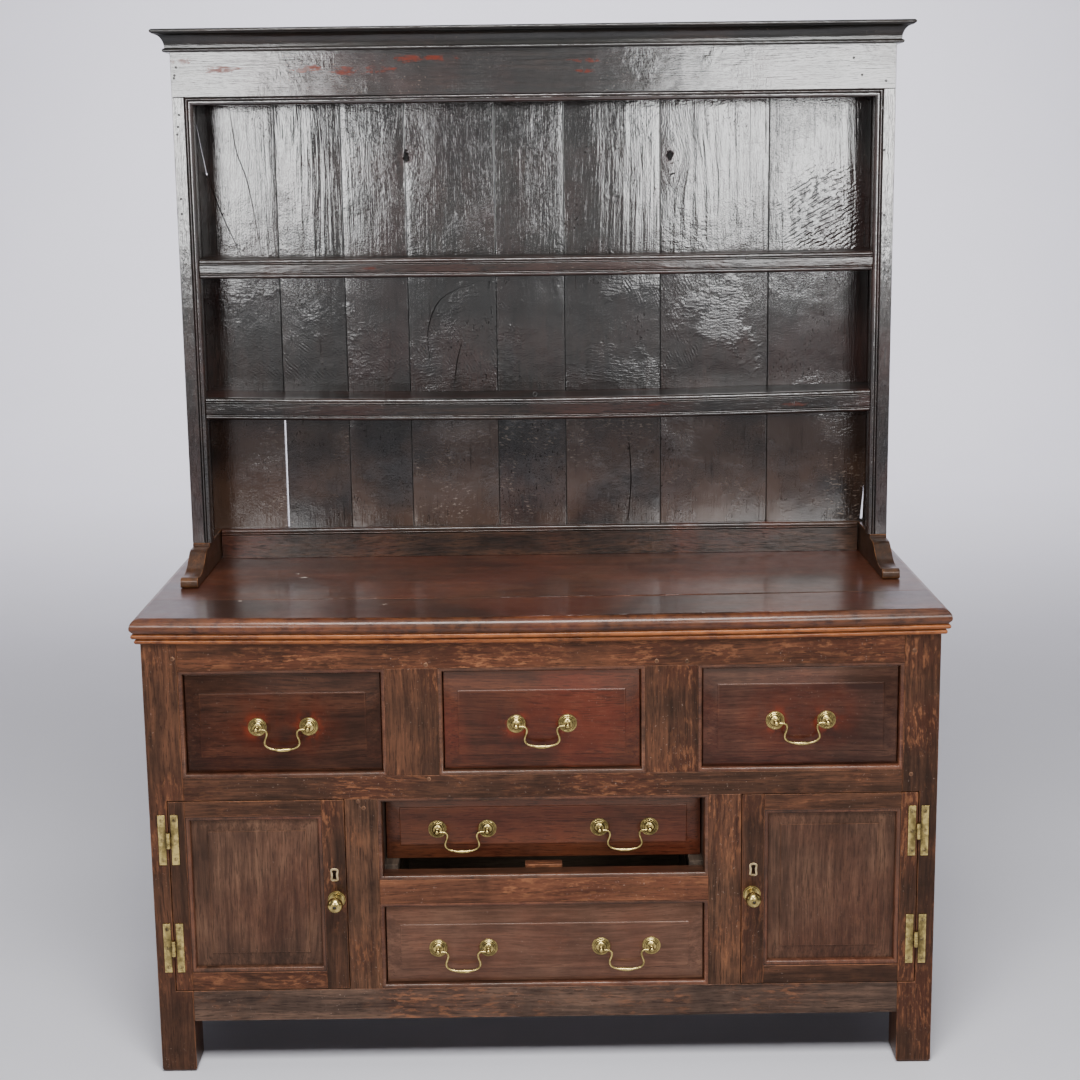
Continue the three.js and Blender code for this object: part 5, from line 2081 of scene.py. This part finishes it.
    def drive_screws(self, screw: Piece, node: str, outward: int, body: str) -> None:
        """Put three screws in a leaf.

        Args:
            screw: The screw to copy.
            node: The leaf.
            outward: The way from the hinge's pin to the leaf's middle, 1 or -1.
            body: The body that the leaf rides on.
        """
        low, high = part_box(node)
        x = (high.x if outward > 0 else low.x) - outward * self.screw_in
        middle = (low.z + high.z) / 2
        for i in range(3):
            place = (x, high.y - self.leaf, middle + (i - 1) * self.screw_spacing)
            head = copied(screw, f"{node}_screw_{i + 1}", place)
            dress(head, SCREW_BRASS.material(), body)


@dataclass
class Rack:
    """The open rack: uprights, shelves, frieze, cornice, splash rail and sledge feet."""

    bead_depth: float = 0.006
    stile_flat: float = 0.023
    stile_bead: float = 0.016
    stile_thickness: float = 0.022
    board: float = 0.020
    frieze_bead: float = 0.016
    fascia_bead: float = 0.012
    fascia: float = 0.016
    shelf_drop: float = 0.002
    splash_bead: float = 0.014
    sag_steps: int = 24
    sags: dict[str, float] = field(default_factory=lambda: {"upper": 0.003, "lower": 0.009})
    feet: dict[str, float] = field(default_factory=lambda: {"upper": 0.038, "lower": 0.044})
    eye_x: float = -0.0055
    eye_in: float = 0.010
    eye_rise: float = 0.0065
    eye_radius: float = 0.0042
    eye_wire: float = 0.0009
    nail: float = 0.0026
    nails: Outline = (
        (-0.6908, 1.8989), (-0.6945, 1.8836), (-0.6955, 1.8784), (0.6191, 1.9005), (0.6358, 1.8682),
        (0.6823, 1.8563), (-0.6892, 1.8086), (-0.6922, 1.7858), (-0.6946, 1.7713), (-0.693, 1.6474),
        (-0.6924, 1.6183), (0.6775, 1.8045), (0.6811, 1.7242), (0.6837, 1.5986),
    )

    def build(self) -> None:
        """Make the rack but for its back."""
        for side, hand in SIDES.items():
            self.upright(side, hand)
            self.sledge_foot(side)
        self.frieze()
        self.bead_run()
        self.old_nails()
        self.cornice()
        self.head_board()
        for level in ("upper", "lower"):
            self.shelf(level)
        self.splash_rail()
        self.screw_eye()

    def upright(self, side: str, hand: int) -> None:
        """Make a side board and the flat of the stile on its front.

        Args:
            side: The side of the dresser.
            hand: Its way along X.
        """
        node = f"rack_upright_{side}"
        low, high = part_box(node)
        outer = high.x if hand > 0 else low.x
        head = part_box("frieze")[0].z + self.frieze_bead - 0.0004
        x0, x1 = sorted((outer, outer - hand * self.stile_flat))
        corners = (x0, low.y, low.z), (x1, low.y + self.stile_thickness, head)
        stile = block(f"rack_stile_{side}", *corners, 0.0009)
        dress(stile, STILE_OAK.material(Grain.ALONG_Z), nodes=[node])
        x0, x1 = sorted((outer, outer - hand * self.board))
        start = (x0, low.y + self.stile_thickness + 0.0002, low.z)
        side_board = block(f"rack_side_{side}", start, (x1, high.y, high.z), 0.0012)
        dress(side_board, SIDE_OAK.material(Grain.ALONG_Z), nodes=[node])

    def bead_run(self) -> None:
        """Run one bead up the left stile, along the frieze and down the right stile, mitred."""
        low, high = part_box("frieze")
        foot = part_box("rack_upright_left")[0].z
        side = high.x - self.stile_flat
        corner = low.z + self.frieze_bead
        section = beaded(self.stile_bead, self.bead_depth)
        section = [*section, (self.stile_bead, self.stile_thickness), (0.0, self.stile_thickness)]
        ends = ((-side, 1, foot, 0), (-side, 1, corner, 1), (side, -1, corner, 1), (side, -1, foot, 0))
        rings = [
            [(x + way * across, low.y + depth, z - level * across) for across, depth in section]
            for x, way, z, level in ends
        ]
        run = loft("rack_bead_run", rings)
        nodes = ["frieze", "rack_upright_left", "rack_upright_right"]
        dress(run, RACK_OAK.material(Grain.ALONG_X), nodes=nodes)

    def old_nails(self) -> None:
        """Sink the dark heads of old nails in the stiles and the frieze."""
        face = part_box("frieze")[0].y
        r = self.nail
        profile = [(r, -0.003), (r, 0.0), (r * 0.7, 0.0003), (r * 0.3, 0.0002)]
        for i, (x, z) in enumerate(self.nails):
            nail = turned(f"rack_nail_{i + 1}", profile, (x, face, z), 10)
            dress(nail, IRON.material())

    def sledge_foot(self, side: str) -> None:
        """Saw out a sledge foot: a neck, an ogee and a rounded nose.

        Args:
            side: The side of the dresser.
        """
        node = f"rack_foot_{side}"
        low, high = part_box(node)
        front, foot = low.y, low.z
        rack_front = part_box("frieze")[0].y
        crest = (rack_front - 0.020, high.z - 0.007)
        cove = (front + 0.015, foot + 0.017)
        span = crest[0] - cove[0]
        ogee = [
            bezier(cove, (cove[0] + span * 0.72, cove[1]), (crest[0] - span * 0.35, crest[1]), crest, i / 22)
            for i in range(23)
        ]
        outline = [
            (high.y, foot), (front + 0.0045, foot), (front + 0.0012, foot + 0.0013), (front, foot + 0.0045),
            *arc((front + 0.009, foot + 0.011), (0.009, 0.009), 180, 90, 8), (front + 0.0135, foot + 0.020),
            (front + 0.0147, foot + 0.0195), (front + 0.015, foot + 0.0185), *ogee,
            (rack_front - 0.0008, crest[1]), (rack_front, crest[1] + 0.001), (rack_front, high.z),
            (high.y, high.z),
        ]
        piece = loft(f"sledge_foot_{side}", [[(x, y, z) for y, z in outline] for x in (low.x, high.x)])
        soften(piece, 0.0013, 3, STEEP_ANGLE)
        dress(piece, FOOT_OAK.material(Grain.ALONG_Y), nodes=[node])

    def frieze(self) -> None:
        """Make the frieze board down to its bead."""
        low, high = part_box("frieze")
        foot = low.z + self.frieze_bead
        plank = block("frieze_board", (low.x, low.y, foot), (high.x, high.y, high.z), 0.0008)
        dress(plank, FRIEZE_OAK.material(Grain.ALONG_X), nodes=["frieze"])

    def cornice(self) -> None:
        """Run the cornice round the head of the rack: an astragal, a deep cove and a thin fillet."""
        low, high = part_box("cornice")
        foot, head = low.z, high.z
        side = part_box("frieze")[1].x + 0.0003
        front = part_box("frieze")[0].y - 0.0003
        cove_foot, fillet_foot = foot + 0.0082, head - 0.0088
        section = [
            (0.0, foot), (0.0060, foot), *arc((0.0085, foot + 0.0035), (0.0035, 0.0035), -80, 80, 8),
            (0.0078, foot + 0.0078),
            *arc((0.0275, cove_foot), (0.0195, fillet_foot - cove_foot), 180, 92, 14),
            (0.0272, fillet_foot), (0.0276, fillet_foot + 0.0012),
            *arc((0.0272, fillet_foot + 0.0048), (0.0038, 0.0036), -70, 78, 8), (0.0278, head), (0.0, head),
        ]
        places = [(-side, high.y, -1, 0), (-side, front, -1, -1), (side, front, 1, -1), (side, high.y, 1, 0)]
        rings = [[(x + to_x * out, y + to_y * out, z) for out, z in section] for x, y, to_x, to_y in places]
        cornice = loft("cornice_moulding", rings)
        dress(cornice, CORNICE_OAK.material(Grain.ALONG_X), nodes=["cornice"])

    def head_board(self) -> None:
        """Lay the head board."""
        low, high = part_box("rack_top")
        board = block("rack_head_board", low, high, 0.0008)
        dress(board, RACK_OAK.material(Grain.ALONG_X), nodes=["rack_top"])

    def shelf(self, level: str) -> None:
        """Make a shelf and its fascia, beaded along both edges and sagging with it.

        Args:
            level: Which shelf, upper or lower.
        """
        node = f"{level}_shelf"
        low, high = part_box(node)
        head, depth = high.z, self.feet[level]
        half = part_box("rack_upright_right")[0].x - 0.0003
        dip = sagging(high.x, self.sags[level])
        back = low.y + self.fascia
        beads = beaded(self.fascia_bead, self.bead_depth)
        section = [(low.y + d, head - depth + self.fascia_bead - a) for a, d in beads]
        section += [(back, head - depth), (back, head)]
        section += [(low.y + d, head - self.fascia_bead + a) for a, d in reversed(beads)]
        fascia = along_x(f"{level}_shelf_fascia", section, (-half, half), self.sag_steps, dip)
        dress(fascia, FASCIA_OAK.material(Grain.ALONG_X), nodes=[node])
        top = head - self.shelf_drop
        section = [(back, top - self.board), (high.y, top - self.board), (high.y, top), (back, top)]
        board = along_x(f"{level}_shelf_board", section, (low.x, high.x), self.sag_steps, dip)
        dress(board, SHELF_OAK.material(Grain.ALONG_X), nodes=[node])

    def splash_rail(self) -> None:
        """Make the rail between the feet, with a bead along its head."""
        low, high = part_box("splash_rail")
        beads = beaded(self.splash_bead, self.bead_depth)
        section = [(low.y, low.z), *[(low.y + d, high.z - self.splash_bead + a) for a, d in beads]]
        section += [(high.y, high.z), (high.y, low.z)]
        rail = along_x("splash_board", section, (low.x, high.x), 1, LEVEL)
        dress(rail, SPLASH_OAK.material(Grain.ALONG_X), nodes=["splash_rail"])

    def screw_eye(self) -> None:
        """Screw the small wire eye into the lower shelf."""
        low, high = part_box("lower_shelf")
        x, y = self.eye_x, low.y + self.eye_in
        foot = high.z - self.sags["lower"] + self.eye_rise
        wire = self.eye_wire
        bpy.ops.object.select_all(action="DESELECT")
        bpy.ops.mesh.primitive_torus_add(
            location=(x, y, foot), rotation=(math.pi / 2, 0.0, 0.3), major_radius=self.eye_radius,
            minor_radius=wire, major_segments=20, minor_segments=8,
        )
        eye = bpy.context.object
        eye.name = "wire_eye"
        bpy.ops.object.transform_apply(location=True, rotation=True, scale=True)
        dress(eye, IRON.material())
        section, ends = circle(wire, 6), (foot - 0.009, foot - 0.0038)
        stem = loft("wire_eye_stem", [[(x + a, y + b, z) for a, b in section] for z in ends])
        dress(stem, IRON.material())


@dataclass
class RackBack:
    """The eight upright boards behind the shelves, with their joints, cracks and knots."""

    shares: tuple[float, ...] = (0.125, 0.095, 0.092, 0.129, 0.1, 0.14, 0.158, 0.161)
    edge: float = 0.0019
    stagger: float = 0.0016
    cups: tuple[float, ...] = (0.0011, 0.0016, 0.0014, 0.0005, 0.0007, 0.0019, 0.0008, 0.0014)
    turns: tuple[float, ...] = (0.0, 0.004, 0.008, 0.002, 0.0, -0.006, 0.012, 0.004)
    ridged: Outline = (
        (0.3, 0.4), (1.3, 1.2), (0.6, 0.4), (0.25, 0.3), (0.4, 0.3), (0.3, 0.9), (0.6, 0.7), (0.5, 0.5),
    )
    across: int = 10
    stations: int = 12
    waver: float = 0.00035
    waver_turns: float = 11.0
    waver_spread: float = 6.3
    slit: float = 0.0034
    crack_grime: Point = (0.0025, 0.0065)
    crack_end: float = 0.0004
    crack_swell: float = 0.0011
    crack_front: float = 0.002
    crack_depth: float = 0.008
    crack_tip: float = 0.0002
    lean: float = 0.0046
    knots: Outline = ((-0.2607, 1.7235), (0.2742, 1.7206))
    cracks: tuple[Outline, ...] = (
        ((-0.6654, 1.6927), (-0.6385, 1.6119), (-0.6013, 1.5263)),
        ((-0.6148, 1.8313), (-0.6045, 1.7418), (-0.5831, 1.6716), (-0.5605, 1.5258)),
        ((-0.2219, 1.3096), (-0.2245, 1.3718), (-0.1984, 1.4332), (-0.1361, 1.4652), (-0.095, 1.4708)),
        ((-0.172, 1.262), (-0.166, 1.305), (-0.156, 1.345)),
        ((0.1887, 1.1367), (0.1926, 1.0519), (0.1859, 0.9666)),
    )
    lights: tuple[tuple[int, Sequence[Place]], ...] = (
        (0, ((-0.6822, 1.7925, 0.0003), (-0.6742, 1.742, 0.0006), (-0.6664, 1.6977, 0.0007))),
        (0, ((-0.6660, 1.6969, 0.0016), (-0.6650, 1.6925, 0.0016))),
        (7, ((0.6748, 0.962, 0.0026), (0.6772, 1.0, 0.0014), (0.679, 1.034, 0.0003))),
    )

    def build(self) -> None:
        """Make the boards one by one, each a little before or behind the next."""
        low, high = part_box("rack_back")
        face = low.y
        width = high.x - low.x
        x0 = low.x
        for i, share in enumerate(self.shares):
            x1 = x0 + share * width
            board = self.cupped(i, Vector((x0, face, low.z)), Vector((x1, high.y, high.z)))
            self.work(board, i, x0, x1, face)
            knots = [(x, face, z) for x, z in self.knots if x0 - 0.01 < x < x1 + 0.01]
            finish = BACK_OAK.material(Grain.ALONG_Z, knots=knots)
            dress(board, finish, nodes=["rack_back"])
            layer = board.data.attributes.new("ridged", "FLOAT", "POINT")
            left, right = self.ridged[i]
            shares = [(vert.co.x - x0) / (x1 - x0) for vert in board.data.vertices]
            layer.data.foreach_set("value", [left + (right - left) * share for share in shares])
            self.darken(board, x0, x1, high.y)
            x0 = x1

    def darken(self, board: Piece, x0: float, x1: float, back: float) -> None:
        """Fill the joints with grime, and the depth of the cracks with grime and painted shade.

        Args:
            board: The dressed board.
            x0: Its left edge.
            x1: Its right edge.
            back: The place of its back along Y.
        """
        near, far = self.crack_grime
        layer = board.data.attributes["grime"]
        for vert, item in zip(board.data.vertices, layer.data):
            x, y, _ = vert.co
            joint = min(x - x0, x1 - x) < self.edge * 0.7
            if joint or near < back - y < far:
                item.value = 1.0

    def cupped(self, index: int, low: Vector, high: Vector) -> Piece:
        """Make a board whose face has cupped across its width, turned a little and wavered as it dried.

        Args:
            index: The board's number from the left, from 0.
            low: The lowest corner that the board may have.
            high: The highest.

        Returns:
            The new board.
        """
        chance = zlib.crc32(f"depth {index}".encode()) / 2**32
        cup, turn = self.cups[index], self.turns[index]
        back = self.stagger * (0.3 + 0.7 * chance) + cup
        middle, half = (low.x + high.x) / 2, (high.x - low.x) / 2
        rings = []
        for z in spaced(low.z, high.z, self.stations):
            waver = self.waver * math.sin(self.waver_turns * z + self.waver_spread * chance)
            outline = [(low.x, high.y, z)]
            for u in spaced(-1.0, 1.0, self.across):
                depth = back - cup * (1 - u * u) + (turn * half + waver) * u
                outline.append((middle + u * half, low.y + max(0.0001, depth), z))
            rings.append([*outline, (high.x, high.y, z)])
        return soften(loft(f"rack_back_board_{index + 1}", rings), self.edge, 2, STEEP_ANGLE)

    def work(self, board: Piece, index: int, x0: float, x1: float, face: float) -> None:
        """Open the slit beside the first joint and cut the cracks and gaps of a board.

        Args:
            board: The board.
            index: Its number from the left, from 0.
            x0: Its left edge.
            x1: Its right edge.
            face: The place of the boards' faces along Y.
        """
        shelf_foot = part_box("lower_shelf")[0].z
        splash_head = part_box("splash_rail")[1].z
        if index in (0, 1):
            edge = x1 if index == 0 else x0
            half = self.slit / 2
            corners = (edge - half, face - 0.01, splash_head), (edge + half, face + 0.03, shelf_foot + 0.004)
            carve(board, block("slit_cutter", *corners, 0))
        for points in self.cracks:
            if x0 < points[0][0] < x1:
                carve(board, self.crack_cutter(points, face))
        for number, points in self.lights:
            if number == index:
                carve(board, self.light_cutter(points, face))

    def crack_cutter(self, points: Outline, face: float) -> Piece:
        """Make a thin tapering blade that follows a crack.

        Args:
            points: Places of the crack on X and Z.
            face: The place of the boards' faces along Y.

        Returns:
            The blade.
        """
        path = smooth_path(points, 4)
        front, deep, tip = face - self.crack_front, face + self.crack_depth, self.crack_tip
        rings = []
        for i, (x, z) in enumerate(path):
            half = self.crack_end + self.crack_swell * math.sin(math.pi * (i + 0.5) / len(path))
            corners = ((-half, front), (half, front), (tip, deep), (-tip, deep))
            rings.append([(x + across, y, z) for across, y in corners])
        return loft("crack_cutter", rings)

    def light_cutter(self, points: Sequence[Place], face: float) -> Piece:
        """Make a blade right through a board, leaning outwards to the back, where light shows through.

        Args:
            points: Places of the gap on X and Z, each with half its width.
            face: The place of the boards' faces along Y.

        Returns:
            The blade.
        """
        way = 1 if points[0][0] > 0 else -1
        corners = (
            (-1, -0.003, -0.001 * way), (1, -0.003, -0.001 * way),
            (1, 0.016, self.lean * way), (-1, 0.016, self.lean * way),
        )
        rings = [
            [(x + side * half + shift, face + depth, z) for side, depth, shift in corners]
            for x, z, half in points
        ]
        return loft("light_cutter", rings)


class Reach(Enum):
    """What a light falls on."""

    ALL = "all"
    PIECE = "piece"
    FIELDED = "fielded"


@dataclass(frozen=True)
class Softbox:
    """A rectangular soft light, given by how bright its face is."""

    name: str
    place: Place
    aim: Place
    size: tuple[float, float]
    radiance: float
    reach: Reach = Reach.PIECE
    colour: Colour = (1.0, 1.0, 1.0)
    spread: float = 180.0

    def hang(self, receivers: dict[Reach, bpy.types.Collection]) -> None:
        """Hang the light, out of the camera's sight.

        Args:
            receivers: The collection that limits each reach but the widest.
        """
        lamp = bpy.data.lights.new(self.name, "AREA")
        lamp.shape = "RECTANGLE"
        lamp.size, lamp.size_y = self.size
        lamp.energy = self.radiance * math.pi * self.size[0] * self.size[1]
        lamp.color = self.colour
        lamp.spread = math.radians(self.spread)
        hung = bpy.data.objects.new(self.name, lamp)
        hung.location = self.place
        hung.rotation_euler = (Vector(self.aim) - Vector(self.place)).to_track_quat("-Z", "Y").to_euler()
        hung.visible_camera = False
        if self.reach in receivers:
            hung.light_linking.receiver_collection = receivers[self.reach]
        bpy.context.scene.collection.objects.link(hung)


@dataclass
class Studio:
    """A pale paper sweep, soft lights and the camera."""

    camera_place: Place = (0.0029, -3.2509, 1.7022)
    pitch: float = 80.42
    roll: float = -0.746
    lens: float = 56.81
    sensor: float = 36.0
    shift: float = -0.08
    sweep_half: float = 13.0
    sweep_front: float = -8.0
    sweep_turn: float = 5.5
    sweep_radius: float = 3.5
    sweep_head: float = 9.0
    sweep_under: float = 0.05
    world: Colour = (0.60, 0.61, 0.66)
    world_strength: float = 0.13
    fielded: tuple[str, ...] = ("drawer_front", "door_fielded", "door_moulding", "lip_")
    lights: tuple[Softbox, ...] = (
        Softbox("softbox_left", (-1.34, -3.1, 1.86), (-0.5, 0.2, 1.75), (0.84, 0.90), 16.0),
        Softbox("softbox_right", (1.08, -3.1, 1.86), (0.4, 0.2, 1.75), (1.02, 0.90), 16.5),
        Softbox("fill_left", (-2.7, -3.5, 0.8), (0.0, 0.0, 0.5), (1.2, 1.5), 1.3),
        Softbox("fill_right", (2.7, -3.5, 0.8), (0.0, 0.0, 0.5), (1.2, 1.5), 1.5),
        Softbox("grey_wall", (0.0, -3.22, 1.5), (0.0, 0.2, 1.5), (3.2, 1.4), 0.5),
        Softbox("bevel_light", (0.0, -3.2, 0.85), (0.0, 0.0, 0.6), (2.5, 1.05), 2.4, Reach.FIELDED),
        Softbox("top_front", (0.0, -2.1, 3.3), (0.0, -1.8, 0.0), (1.9, 1.2), 30.0, Reach.ALL),
        Softbox("overhead", (0.0, 0.4, 3.6), (0.0, 0.2, 0.0), (4.4, 2.4), 1.2, Reach.ALL),
        Softbox("side_left", (-4.6, -0.2, 2.2), (0.0, 0.0, 0.8), (2.4, 2.0), 1.2),
        Softbox("side_right", (4.6, -0.2, 2.2), (0.0, 0.0, 0.8), (2.4, 2.0), 1.2),
        Softbox("wall_wash", (0.0, 5.4, 7.4), (0.0, 9.0, 2.6), (9.0, 2.0), 7.0, Reach.ALL, COOL, 120.0),
        Softbox("turn_wash", (0.0, 3.4, 6.4), (0.0, 7.2, 0.4), (10.0, 1.6), 5.2, Reach.ALL, COOL, 110.0),
    )

    def build(self) -> None:
        """Hang the sweep and the lights and place the camera."""
        paper = bpy.data.collections.new("off_the_paper")
        paper.objects.link(self.sweep())
        for item in paper.collection_objects:
            item.light_linking.link_state = "EXCLUDE"
        fielded = bpy.data.collections.new("fielded_work")
        for piece in [piece for piece in bpy.data.objects if piece.name.startswith(self.fielded)]:
            fielded.objects.link(piece)
        for light in self.lights:
            light.hang({Reach.PIECE: paper, Reach.FIELDED: fielded})
        scene = bpy.context.scene
        scene.world = bpy.data.worlds.new("studio_air")
        scene.world.use_nodes = True
        air = scene.world.node_tree.nodes["Background"]
        air.inputs["Color"].default_value = (*self.world, 1.0)
        air.inputs["Strength"].default_value = self.world_strength
        self.camera()

    def sweep(self) -> Piece:
        """Run pale paper over the floor and up behind the dresser in one curve.

        Returns:
            The paper.
        """
        turn, radius = self.sweep_turn, self.sweep_radius
        back = turn + radius
        paper = [(self.sweep_front, 0.0), *arc((turn, radius), (radius, radius), 270, 360, 24)]
        outline = [*paper, (back, self.sweep_head), (back + self.sweep_under, self.sweep_head)]
        outline += [(back + self.sweep_under, -self.sweep_under), (self.sweep_front, -self.sweep_under)]
        ends = (-self.sweep_half, self.sweep_half)
        sweep = loft("studio_sweep", [[(x, y, z) for y, z in outline] for x in ends])
        alone(sweep)
        bpy.ops.object.shade_smooth_by_angle(angle=SMOOTH_ANGLE)
        sweep.data.materials.append(BACKDROP.material())
        return sweep

    def camera(self) -> None:
        """Set the camera where the photograph was taken from."""
        lens = bpy.data.cameras.new("camera")
        lens.lens = self.lens
        lens.sensor_width = self.sensor
        lens.shift_y = self.shift
        camera = bpy.data.objects.new("camera", lens)
        camera.location = self.camera_place
        pitch = Matrix.Rotation(math.radians(self.pitch), 4, "X")
        roll = Matrix.Rotation(math.radians(self.roll), 4, "Z")
        camera.rotation_euler = (pitch @ roll).to_euler()
        bpy.context.scene.collection.objects.link(camera)
        bpy.context.scene.camera = camera


def main() -> None:
    """Build the dresser class by class round its frame."""
    logging.basicConfig(level=logging.INFO, format="%(message)s")
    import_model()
    works = (
        BaseFrame(), BaseBoards(), Top(), Drawers(), Door("left"), Door("right"), Rack(), RackBack(),
        Studio(),
    )
    for work in works:
        log.info("building %s", type(work).__name__)
        work.build()


if __name__ == "__main__":
    main()
